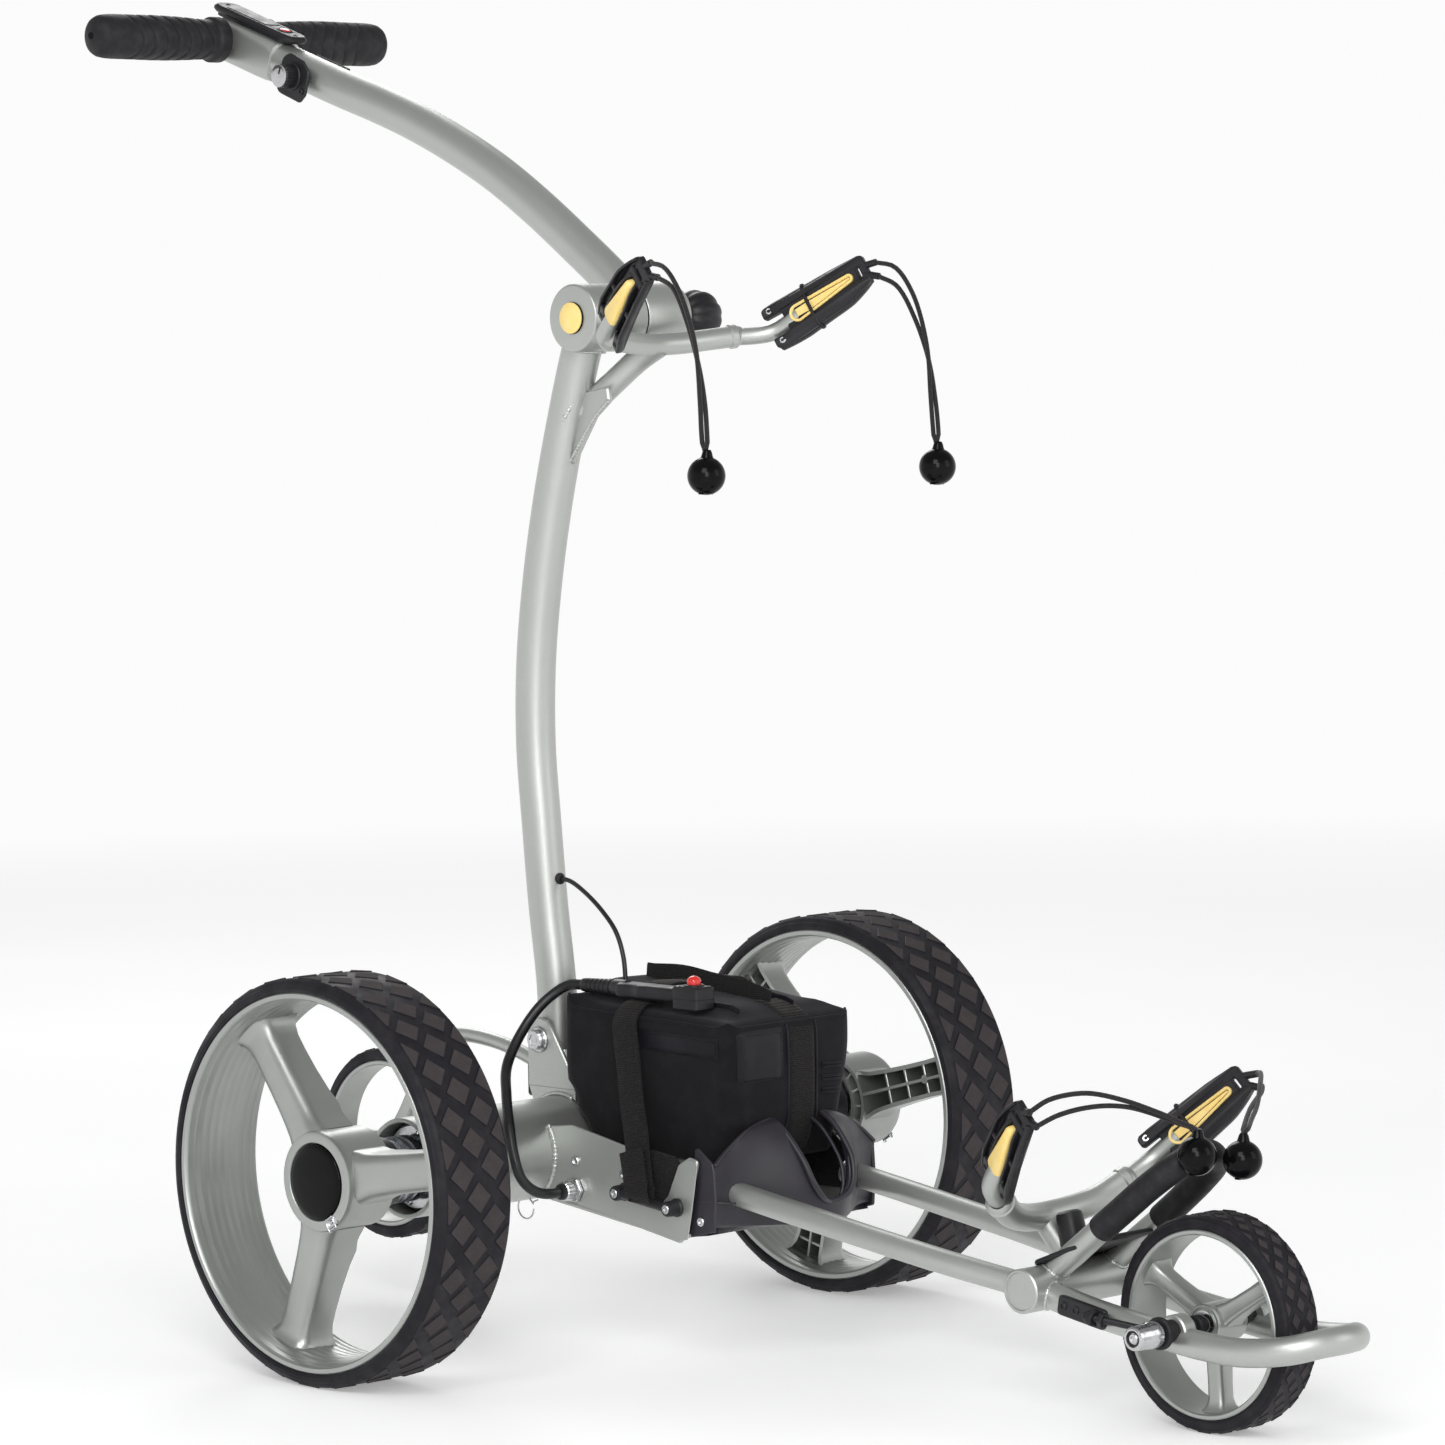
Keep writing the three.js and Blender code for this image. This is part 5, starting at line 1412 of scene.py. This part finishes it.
def add_front_axle():
    shape = Shape(BLACK, STEEL, GRIP)
    shape.lathe([(0, -56), (5, -56), (5, 56), (0, 56)], (FRONT_X, 0, SMALL_R), LEFT, 24)
    for s in (-1, 1):
        out = (0, s, 0)
        for y, outer, length in ((24, 8, 7), (54.4, 8.4, 12), (65.4, 12, 4.6)):
            collar(shape, (FRONT_X, s * y, SMALL_R), out, 5, outer, length, 2)
        nut = [(0, 0), (9.4, 0), (9.9, 1.2), (9.9, 9), (9.2, 10), (9.2, 22), (8.5, 24.6), (7.2, 25.4),
               (6.2, 25.2), (5.8, 23.8), (0, 23.8)]
        foot = (FRONT_X, s * 70, SMALL_R)
        shape.lathe(nut, foot, out, 40, 1)
        shape.lathe([(4.2, 23.4), (5.7, 23.4), (5.7, 24.1), (4.2, 24.1)], foot, out, 32, 2)
        shape.screw((FRONT_X, s * 93.6, SMALL_R), out, 3.8, 1.4, 1)
    shape.made("front_axle_piece", "chassis", ["front_axle"])
    track = Shape(BLACK, STEEL, GRIP)
    aim = Vector((0.985, 0, -0.17))
    track.box((561, -59, 86), (46, 15, 4.6), aim, (0.17, 0, 0.985), 0.9, 3.4)
    for a in (-17, -5):
        track.screw(Vector((561, -61.1, 86)) + aim * a, (0, -1, 0), 3.2, 1.2, 0)
    threaded(track, (566, -64, 84.6), (629, -61.6, 80.2), 2.7, 1.5, 0)
    hexagon(track, (569, -64, 84.4), aim, 5.2, 4.2)
    collar(track, (575, -63.8, 83.9), aim, 2.6, 6.2, 5, 2)
    hexagon(track, (582, -63.4, 83.4), aim, 6.0, 4.4)
    track.made("tracking_adjuster_piece", "chassis", ["tracking_adjuster"])


def add_bag_rest():
    shape = Shape(GRIP, BLACK)
    path = spline([*side(HOOP_HALF, -1), HOOP_TIP, *side(HOOP_HALF, 1)[::-1]], 90)
    shape.sweep(path, 10.6, 36, ends=1.6)
    u, v = Vector((0.93, 0, 0.37)), Vector(LEFT)
    outline = filleted([(-32, -44), (14, -44), (30, -36), (30, 36), (14, 44), (-32, 44)], 7, 5)
    holes = [arc(-4, y, 2.6, 0, 342, 20) for y in (-24, 24)]
    shape.slab(outline, (528, 0, 124.6), u, v, 4.4, 1.2, holes, 1)
    peg = [(0, 0), (11, 0.2), (11.2, 2), (10.7, 16), (10.4, 27), (9.6, 30.6), (7, 32.4), (0, 32.8)]
    shape.lathe(peg, (504, 0, 116), (-8, 0, 32), 40, 1)
    shape.made("bag_rest_piece", "chassis", ["bag_rest"])


# ---- motor tube, chassis and anti-tip arm --------------------------------------------------
def on_motor_tube(radius, *angles):
    """Points (x, z) round the rear axle."""
    return [(math.cos(a) * radius, AXLE_Z + math.sin(a) * radius) for a in angles]


SIDE_PLATE = [
    *on_motor_tube(40, -0.86), (180, 101.7), (188, 128), (200, 168),
    (190, 170), (178, 163), (166, 138), (158, 131), (140, 132), (131, 142), (122, 172), (60, 184),
    *on_motor_tube(40, 0.6, 0.3, 0, -0.3, -0.6),
]
BOLT = (-24, 241)
EAR_OUTLINE = [
    (-37, 203), (17, 203), (16, 212), (-10, 252), (-16, 257), (-24, 259), (-32, 257), (-37, 250),
]
ARM = [(-48, 196), (-80, 203), (-150, 222), (-205, 224), (-238, 212), (-252, 184), (-252, 125)]


def add_motor_tube():
    shape = Shape(SILVER)
    rim = [(36, 218.4), (37, 219), (38.6, 219), (TUBE_OUTER, 218.2)]
    profile = [(r, -h) for r, h in rim] + rim[::-1]
    shape.lathe(profile, (0, 0, AXLE_Z), LEFT, 88)
    shape.made("motor_tube_piece", "chassis", ["motor_housing"], 40)
    for word, s in SIDES.items():
        inner = Shape(BLACK, STEEL)
        out = (0, s, 0)
        inner.lathe([(0, 62), (31, 62), (31, 146), (34.4, 146), (34.4, 198), (35.8, 199),
                     (35.8, 203), (34.2, 204), (30.4, 204), (0, 204)], (0, 0, AXLE_Z), out, 64)
        inner.lathe([(9, 203), (32.8, 203), (33.2, 206.2), (32.2, 207), (22, 207), (21, 205.6),
                     (9, 205.6)], (0, 0, AXLE_Z), out, 64, 1)
        for k in range(6):
            a = math.tau * (k + 0.3) / 6
            at = (28.2 * math.cos(a), s * 206.8, AXLE_Z + 28.2 * math.sin(a))
            inner.screw(at, out, 2.9, 1.9, 1)
        inner.made("drive_unit_piece_" + word, "chassis", ["drive_unit_" + word])


def add_chassis():
    add_motor_tube()
    plate = Shape(SILVER)
    corners = [0, 4, 3, 4, 3, 5, 5, 7, 7, 5, 6, 4, 0, 0, 0, 0, 0]
    hole = arc(62, 133, 8.4, 0, 350, 24)
    for s in (-1, 1):
        plate.upright(filleted(SIDE_PLATE, corners, 5), s * CHASSIS_Y, 3, 0.7, [hole] if s < 0 else [])
    plate.slab([(32, -91), (176, -91), (176, 91), (32, 91)], (0, 0, 126.9), (0.9927, 0, -0.1206),
               LEFT, 3, 0.3)
    for s in (-1, 1):
        plate.sweep([(36, s * 91, 124), (106, s * 91, 115), (176, s * 91, 106.5)], 2.6, 16, ends=0.6)
        lug = [(176, 103), (188, 106), (193, 128), (200, 166), (190, 169), (182, 140)]
        plate.upright(filleted(lug, 3, 4), s * (CHASSIS_Y + 1.8), 1, 0.3)
    plate.made("chassis_piece", "chassis", ["chassis_tray"], 30)
    bead = Shape(WELD)
    nose = on_motor_tube(40.4, 0.62, 0.4, 0.2, 0, -0.2, -0.4, -0.6, -0.8)
    foot = on_motor_tube(41, 1.2, 1.5, 1.8, 2.1, 2.4)
    for line, middle, reach, size in ((nose, 0, CHASSIS_Y + 1.4, 2.1), (foot, MAST_Y, 22.6, 1.7)):
        for s in (-1, 1):
            bead.weld(plane_line(line, middle + s * reach), size)
    bead.made("chassis_welds", "chassis")
    liner = Shape(WEBBING)
    flap = filleted([(120, 124), (182, 124), (183, 158), (170, 168), (146, 171), (122, 170)], 5, 5)
    for s in (-1, 1):
        liner.upright(flap, s * 88, 3.2, 1.2)
    liner.made("tray_liner", "chassis")
    add_fittings()
    add_bracket()
    add_antitip()


def add_fittings():
    """The lead's socket, the strap's bar, screws and ring on the right side plate; the controller."""
    out = Vector((0, -1, 0))
    socket = Shape(STEEL, BLACK)
    base = Vector((62, -CHASSIS_Y, 133))
    hexagon(socket, base + out * 1.8, out, 10.4, 3.4)
    socket.lathe([(0, 5), (8.8, 5), (8.8, 6.4), (7.4, 6.8), (7.4, 8.2), (0, 8.2)], base, out, 32)
    knurled(socket, base + out * 8, out, 7.8, 7.2, 20, 0.45)
    socket.lathe([(4.3, 14.8), (6.6, 15), (6.2, 17.6), (4.3, 18.4)], base, out, 28, 1)
    socket.lathe([(0, -12), (7.6, -12), (7.6, 0), (0, 0)], base, out, 24)
    socket.made("lead_socket", "chassis", ["chassis_connector"])
    bar = Shape(BLACK, STEEL)
    ends = [Vector((120, -CHASSIS_Y - 1.9, 137)), Vector((177, -CHASSIS_Y - 1.9, 130))]
    for p in ends:
        bar.lathe([(0, 0), (7.2, 0), (7.2, 2), (6.2, 3), (6, 11.6), (5.2, 12.8), (0, 12.8)], p, out, 36)
        bar.screw(p + out * 12.4, out, 3.6, 1.4, 1)
    bar.sweep([p + out * 8 for p in (ends[0], ends[0].lerp(ends[1], 0.5), ends[1])], 4, 24, ends=0.5)
    bar.made("strap_bar_piece", "chassis", ["strap_bar"])
    screws = Shape(STEEL)
    for x, z in ((118, 150), (64, 156)):
        screws.screw((x, -CHASSIS_Y - 1.4, z), out, 4.2, 2.2)
    screws.made("side_screws", "chassis")
    ring = Shape(STEEL)
    hoop = [(9 + 9 * math.cos(t), -CHASSIS_Y - 5, 114 + 8.6 * math.sin(t)) for t in
            (k * math.tau / 30 for k in range(29))]
    ring.sweep([(20, -CHASSIS_Y - 2, 121), (17, -CHASSIS_Y - 4, 119.5), *hoop[2:], hoop[0]], 0.7, 8,
               ends=0.3)
    ring.made("pull_ring", "chassis")
    controller = Shape(BLACK, STEEL)
    controller.box((115, 0, 131), (70, 120, 17), bevel=2, corner=6)
    for x in (86, 144):
        for y in (-52, 52):
            controller.screw((x, y, 139), UP, 2.6, 1, 1)
    controller.made("controller_piece", "chassis", ["controller"])


def add_bracket():
    shape = Shape(SILVER)
    for y in (MAST_Y - 20, MAST_Y + 20):
        ear = filleted(EAR_OUTLINE, [2, 3, 5, 8, 4, 4, 4, 6], 5)
        shape.upright(ear, y, 4, 0.8, [arc(*BOLT, 5.4, 0, 345, 24)])
    base = [(-37, 204), (17, 204), *on_motor_tube(40, 1.14, 1.3, 1.6, 1.9, 2.2, 2.4)]
    shape.upright(base, MAST_Y, 44, 0.8)
    shape.made("mast_bracket_piece", "chassis", ["mast_bracket"])
    bolt = Shape(STEEL, BLACK)
    barrel(bolt, *BOLT, -54.6, 0.6, 5, 0.8, segments=24)
    right, bolt_head, left, nut = ((BOLT[0], MAST_Y + y, BOLT[1]) for y in (-22.8, -23.6, 22.8, 23.4))
    collar(bolt, right, LEFT, 5, 10.6, 1.4)
    bolt.screw(bolt_head, (0, -1, 0), 8.4, 4.4)
    collar(bolt, left, LEFT, 5, 10.6, 1.4)
    hexagon(bolt, nut, LEFT, 8.8, 5)
    bolt.made("mast_bolt_piece", "chassis", ["mast_bolt"])


def add_antitip():
    shape = Shape(SILVER, BLACK, STEEL)
    shape.sweep(spline(plane_line(ARM, 24), 60), 6, 28, ends=1.0)
    hull = filleted([(-98, 184), (-40, 184), (-39, 212), (-60, 214), (-98, 213)], [3, 0, 4, 4, 4], 5)
    shape.upright(hull, 21, 29, 1.6, material=1)
    collar(shape, (-99, 24, 208.2), (-0.965, 0, 0.262), 6, 9.2, 6, 1)
    barrel(shape, *ANTITIP, -20, 26, 5, 0.8, 2, 28)
    shape.screw((ANTITIP[0], -15, ANTITIP[1]), (0, -1, 0), 7.6, 4.4, 2)
    collar(shape, (ANTITIP[0], 24, ANTITIP[1]), LEFT, 5, 9, 12)
    shape.made("antitip_arm_piece", "chassis", ["antitip_arm"])


# ---- battery, its bag and strap ------------------------------------------------------------
def bag_point(x, y, z):
    """Leans a bag point forwards with the chassis floor."""
    dx, dz = x - 22, z - 168
    return Vector((22 + dx * 0.99955 + dz * 0.03, y, 168 + dz * 0.99955 - dx * 0.03))


BAG_X = (17, 207)
BAG_HALF = 69
BAG_LOW = 169
BAG_EDGE = 266
BAG_ROUND = 11
BAG_CORNER = 17
BAG_FAR = 6  # the far side stands out further at the top
BAG_SIDE = 16  # steps along each side of the bag between its corners


def bag_share(z):
    """How far up the bag's sides a height is, from 0 to 1."""
    return min(1, max(0, (z - BAG_LOW) / (BAG_EDGE - BAG_LOW)))


def bag_reach(z):
    """Rear and front of the bag, and half its width, at a height."""
    rear = BAG_X[0] + 8 * eased((214 - z) / 10)
    if z < 200:
        rear = max(rear, math.sqrt(max(0, 41.4 ** 2 - (z - AXLE_Z) ** 2)) + 1.2)
    return rear, BAG_X[1] - 6 * eased((204 - z) / 36), BAG_HALF - 6 * eased((255 - z) / 80)


def bag_top(x, y, lift=0.0):
    """Height of the bag's domed top."""
    inset = min(x - BAG_X[0], BAG_X[1] - x, BAG_HALF - abs(y) + (BAG_FAR if y > 0 else 0))
    edge = max(0, BAG_ROUND - max(0, inset))
    dome = 18 * eased((inset - 4) / 24) * (0.35 + 0.65 * (BAG_X[1] - x) / 190)
    dome *= 1 - 0.8 * math.exp(-((y - PLUG[0]) / 13) ** 2)  # pressed down under the plug
    raised = 6 * eased((52 - x) / 30) * eased(inset / 6)
    sag = 0.7 * math.sin(x * 0.09 + y * 0.05) * eased((inset - 8) / 20)
    return BAG_EDGE + math.sqrt(BAG_ROUND ** 2 - edge ** 2) + dome + raised + sag + lift


def bag_ring(z, grow, bulge=0.0):
    """One horizontal ring of the bag: a rounded rectangle whose sides bulge and wrinkle."""
    rear, front, half = bag_reach(z)
    x0, x1, y1 = rear - grow, front + grow, half + grow
    r = max(1.5, BAG_CORNER + min(0, grow))
    far = y1 + BAG_FAR * eased((z - 196) / 60)
    corners = [(x1 - r, far - r, 0), (x0 + r, far - r, 90), (x0 + r, r - y1, 180), (x1 - r, r - y1, 270)]
    arcs = [arc(cx, cy, r, start, start + 90, 9) for cx, cy, start in corners]
    points = []
    for k, made in enumerate(arcs):
        points += made
        a, b = made[-1], arcs[(k + 1) % 4][0]
        for i in range(1, BAG_SIDE):
            t = i / BAG_SIDE
            x, y = a[0] + (b[0] - a[0]) * t, a[1] + (b[1] - a[1]) * t
            wrinkle = 0.45 * math.sin(9 * t + z * 0.09 + 3 * k) * math.sin(math.pi * t)
            push = bulge * math.sin(math.pi * t) + (wrinkle if bulge else 0)
            if k % 2:
                x += math.copysign(push, x - 115)
            else:
                y += math.copysign(push, y)
            points.append((x, y))
    return points


def lean(points, z):
    """Bag points at one height, from their x and y."""
    return [bag_point(x, y, z) for x, y in points]


def top_ring(inset, lift=0.0):
    """A ring on the bag's top, a distance in from its sides."""
    return [bag_point(x, y, bag_top(x, y, lift)) for x, y in bag_ring(BAG_EDGE, -inset)]


def add_bag():
    shape = Shape(NEOPRENE, VINYL, WEBBING)
    rings = [lean(bag_ring(z, grow, bulge=bulge), z) for z, grow, bulge in
             ((166.4, -9, 0), (165, -4, 0), (165.8, -1.4, 0.2))]
    for k in range(16):
        t = k / 15
        bow = math.sin(math.pi * t)
        z = BAG_LOW + (BAG_EDGE - BAG_LOW) * t
        rings.append(lean(bag_ring(z, 0.4 * bow, bulge=1.7 * bow ** 0.8), z))
    for inset in (0.5, 1.4, 2.8, 4.6, 6.8, 9, 11, 14, 18, 23, 29, 36, 44, 53, 62):
        rings.append(top_ring(inset))
    shape.rings(rings)
    shape.made("battery_bag_piece", "chassis", ["battery_bag"], 60)


def bag_front(y, z, out=0.0):
    """A point on the front face; the face swells a little between its edges."""
    swell = 1.9 * math.sin(math.pi * bag_share(z)) ** 0.8
    swell *= max(0, math.cos(math.pi * y / 120))
    reach = bag_reach(z)[1]
    if z > BAG_EDGE:
        reach -= BAG_ROUND - math.sqrt(max(0, BAG_ROUND ** 2 - (z - BAG_EDGE) ** 2))
    corner = max(0, abs(y) - (bag_reach(z)[2] - BAG_CORNER))
    reach -= BAG_CORNER - math.sqrt(max(0, BAG_CORNER ** 2 - corner ** 2))
    return bag_point(reach + 0.3 + swell + out, y, z)


def bag_near(x, z, out=0.0):
    """A point on the near side face."""
    bow = math.sin(math.pi * bag_share(z))
    half = bag_reach(z)[2] + 0.4 * bow + 1.7 * bow ** 0.8 * math.sin(math.pi * (x - 34) / 156)
    return bag_point(x, -half - 0.3 - out, z)


def stitched(shape, outline, at):
    """Dashed stitching inside an outline."""
    line = offset(outline, 2.4)
    for a, b in zip(line, line[1:] + line[:1]):
        length = math.dist(a, b)
        for k in range(max(1, round(length / 3.4))):
            t0, t1 = k * 3.4 / length, min(1, (k * 3.4 + 2.2) / length)
            if t1 <= t0:
                continue
            ends = [at(a[0] + (b[0] - a[0]) * t, a[1] + (b[1] - a[1]) * t) for t in (t0, t1)]
            shape.sweep([ends[0], ends[0].lerp(ends[1], 0.5), ends[1]], 0.35, 6, ends=0)


def add_bag_trim():
    trim = Shape(VINYL, WEBBING, NEOPRENE)

    def grid(at, u0, u1, v0, v1, lift, material):
        """A sewn-on panel: a grid laid on the bag with its edges turned down."""
        rows, columns = 10, 12
        points = []
        for i in range(rows + 1):
            for j in range(columns + 1):
                rim = i in (0, rows) or j in (0, columns)
                u = u0 + (u1 - u0) * i / rows
                v = v0 + (v1 - v0) * j / columns
                points.append(at(u, v, -0.6 if rim else lift))
        across = columns + 1
        faces = [(i * across + j, (i + 1) * across + j, (i + 1) * across + j + 1, i * across + j + 1)
                 for i in range(rows) for j in range(columns)]
        trim.add(points, faces, material)

    def box(u0, u1, v0, v1):
        return filleted([(u0, v0), (u1, v0), (u1, v1), (u0, v1)], 5, 5)

    # Piped seams round the top, and vinyl panels on the near side and the front's near corner.
    loop = top_ring(2.2, 0.3)
    trim.sweep([*loop, loop[0]], 1.2, 10, 2, ends=0)
    grid(bag_near, 92, 196, 249, 265, 0.9, 0)
    stitched(trim, box(92, 196, 249, 265), lambda x, z: bag_near(x, z, 1.0))
    grid(bag_front, -60, -8, 229, 271, 1.0, 0)
    stitched(trim, box(-60, -8, 229, 269), lambda y, z: bag_front(y, z, 1.1))
    # The wide band up the front and over the top.
    grid(bag_front, -3, 27, 170, 273, 1.3, 1)
    for y in (-4, 28):
        trim.sweep([bag_front(y, z, 0.7) for z in (171, 200, 230, 255, 266, 272)], 0.9, 8, 0, ends=0.3)
    grid(lambda x, y, out: bag_point(x, y, bag_top(x, y, out)), 168, 203, -3, 27, 1.3, 1)
    for k in range(3):
        for gap in (-1.4, 1.4):
            line = [bag_front(34 + 5.4 * i, 216 + 10 * k + gap - 0.3 * i, 0.8) for i in range(6)]
            trim.sweep(line, (0.8, 1.0), 8, 2, ends=0.3)
    # The zip and the carrying handle on top.
    for y, width in ((-38, 3.2), (22, 4.4)):
        top = [bag_point(x, y, bag_top(x, y, 0.5)) for x in range(44, 190, 8)]
        trim.sweep(top, (width, 0.8), 10, 0, ends=0.4, hint=LEFT, square=4)
        for k in range(54):
            x = 46 + 2.6 * k
            shift = 0.5 if k % 2 else -0.5
            trim.box(bag_point(x, y + shift, bag_top(x, y, 1.4)), (1.3, 2.4, 0.8), bevel=0.2,
                     corner=0.3, material=1)
    grip = [bag_point(x, 4, bag_top(x, 4, -1.3) + 4.4 * math.sin(math.pi * min(1, (x - 44) / 134)) ** 0.8)
            for x in range(44, 181, 8)]
    trim.sweep(grip, (12, 1.1), 16, 1, ends=0.5, hint=LEFT, square=4)
    trim.made("bag_trim", "chassis")


def band(shape, path, wide, section, cup=0.0):
    """A flat band along path, its section's first axis kept nearest to wide; cup waves its edges."""
    last = len(path) - 1
    rings = []
    for i, p in enumerate(path):
        ahead = (path[min(i + 1, last)] - path[max(i - 1, 0)]).normalized()
        across = Vector(wide)
        across = (across - ahead * across.dot(ahead)).normalized()
        thick = across.cross(ahead)
        rings.append([p + across * a + thick * (b + cup * math.sin(i * 0.5) * (a / 12.5) ** 2)
                      for a, b in section])
    shape.rings(rings)


def add_strap():
    """A flat hook-and-loop strap over the bag, leaning forwards as it comes down each side."""
    line = [(-101.2, 141), (-95, 172), (-86, 218), (-78, 256), (-74.5, 267)]
    over = [(y, bag_top(99, y, 2.0)) for y in (-66, -60, -48, -30, -10, 10, 30, 48, 60, 72)]
    far = [(79.5, 267), (82, 256), (88, 218), (95, 172), (101.2, 141)]
    path = spline([(98.5 - 0.34 * (min(z, 278) - 278.6), y, z) for y, z in (*line, *over, *far)], 96)
    shape = Shape(WEBBING, VINYL)
    section = filleted([(-12.5, -1.1), (12.5, -1.1), (12.5, 1.1), (-12.5, 1.1)], 0.8, 3)
    band(shape, path, AHEAD, section, 0.5)
    # The free end folds back round the bar and up the outside.
    tail = spline([(145, -100.5, 142), (148, -104.6, 133.5), (147, -108, 139), (142.5, -106, 152),
                   (136, -103.4, 172)], 30)
    section = filleted([(-12.1, -0.9), (12.1, -0.9), (12.1, 0.9), (-12.1, 0.9)], 0.7, 3)
    band(shape, tail, (1, 0, -0.12), section)
    piece = shape.made("battery_strap_piece", "chassis", ["battery_strap"], 40)
    length = run_length(path) / 1000 + 0.045  # with what is folded back at the bar


def add_plug():
    """The battery plug: strain relief, scalloped body and the block with the reset button."""
    y, z = PLUG
    shape = Shape(BLACK, STEEL, GRIP)

    def at(x, h=0.0, w=0.0):
        return Vector((x, y + w, z + h))

    relief = [(4.3, 33), (5.2, 34), (5.6, 37)]
    for k in range(6):
        relief += [(5.7 + 0.18 * k, 38 + 5 * k), (5.7 + 0.18 * k, 41 + 5 * k), (4.7 + 0.18 * k, 41.6 + 5 * k),
                   (4.7 + 0.18 * k, 42.6 + 5 * k)]
    relief += [(6.6, 69), (7.2, 71), (7.2, 84), (0, 84)]
    shape.lathe([(0, 33), *relief], (0, y, z), AHEAD, 36)
    run = [at(x, -0.5) for x in (78, 80, 84, 90, 95, 100, 104, 108, 112, 116, 122, 130, 138, 144)]
    widths = (7.5, 10, 11, 9.6, 8.8, 9.6, 11, 11, 9.2, 9, 9.2, 9.2, 9.2, 9)

    def size(share):
        k = share * (len(widths) - 1)
        low = min(int(k), len(widths) - 2)
        return (widths[low] + (widths[low + 1] - widths[low]) * (k - low), 6.2)

    shape.sweep(run, size, 32, ends=1.2, hint=UP, square=3.6)
    shape.box(at(157, -2), (28, 21, 19), bevel=1.8, corner=3)
    shape.box(at(157, -2.4), (28.4, 21.4, 1), bevel=0.3, corner=3, material=2)
    shape.lathe([(6.1, -2), (6.1, 0.6), (7, 1.1), (8, 0.8), (8.2, -2)], at(158, 7.8), UP, 32, 0)
    for w in (-7.6, 7.6):
        shape.screw(at(148, 7.2, w), UP, 1.7, 0.8, 1)
    piece = shape.made("battery_plug_piece", "chassis", ["battery_plug"])
    button = Shape(RED)
    dome = [(0, -6), (5.6, -6), (5.6, 3.4)]
    dome += [(5.8 * math.cos(a), 3.6 + 5 * math.sin(a)) for a in (0.15, 0.4, 0.7, 1.0, 1.3)]
    button.lathe([*dome, (0, 8.6)], at(158, 7.0), UP, 36)
    button.made("reset_button_piece", "reset", ["reset_button"])
    return piece


def add_battery():
    add_bag()
    add_bag_trim()
    add_strap()


# ---- the scene -----------------------------------------------------------------------------
def add_floor():
    data = bpy.data.meshes.new("floor")
    far = 40
    data.from_pydata([(-far, -far, 0), (far, -far, 0), (far, far, 0), (-far, far, 0)], [], [(0, 1, 2, 3)])
    floor = bpy.data.objects.new("floor", data)
    bpy.context.collection.objects.link(floor)
    p = Paint("floor", (0.84, 0.84, 0.845), 0.8, Specular_IOR_Level=0.0)
    p.tint(p.noise(1.5, 3), (0.87, 0.87, 0.87), 0.4, 0.7)
    reach = p.node("ShaderNodeVectorMath", {0: p.place}, operation="LENGTH").outputs["Value"]
    p.tint(reach, (0, 0, 0), 1.2, 5.0)
    p.put(p.shader, "Emission Strength", 1.0)
    fade = p.node("ShaderNodeMix", data_type="RGBA")
    p.put(fade, 0, p.ranged(reach, 1.2, 5.0, 0.0, 1.0))
    p.put(fade, 6, (0.3, 0.3, 0.3, 1))
    p.put(fade, 7, (0.97, 0.97, 0.97, 1))
    p.put(p.shader, "Emission Color", fade.outputs[2])
    data.materials.append(p.material)


def add_world():
    world = bpy.data.worlds.new("studio")
    world.use_nodes = True
    nodes, links = world.node_tree.nodes, world.node_tree.links
    background = nodes["Background"]
    where = nodes.new("ShaderNodeTexCoord")
    apart = nodes.new("ShaderNodeSeparateXYZ")
    ramp = nodes.new("ShaderNodeMapRange")
    for key, value in (("From Min", 0.12), ("From Max", 0.55), ("To Min", 0.97), ("To Max", 0.36)):
        ramp.inputs[key].default_value = value
    links.new(where.outputs["Generated"], apart.inputs[0])
    links.new(apart.outputs["Z"], ramp.inputs["Value"])
    links.new(ramp.outputs[0], background.inputs["Strength"])
    background.inputs["Color"].default_value = (1, 1, 1, 1)
    bpy.context.scene.world = world
    bpy.context.scene.view_settings.view_transform = "Standard"


def add_lights():
    add_area("key", (1.6, -2.6, 2.6), (0, 0, 0.4), (1.6, 1.6), 48)
    add_area("front", (2.5, -2.3, 1.3), (0, 0, 0.5), (1.0, 1.6), 32)
    add_area("fill", (3.2, 1.2, 1.6), (0, 0, 0.4), (1.4, 2.0), 14)
    add_area("rim", (-2.4, 1.6, 2.4), (0, 0, 0.6), (1.2, 2.0), 26)


add_camera()
add_cords()
plug_piece = add_plug()
add_leads(plug_piece)
add_wheels()
add_chassis()
add_front()
add_mast()
add_handle()
add_cradles()
add_battery()
add_floor()
add_world()
add_lights()
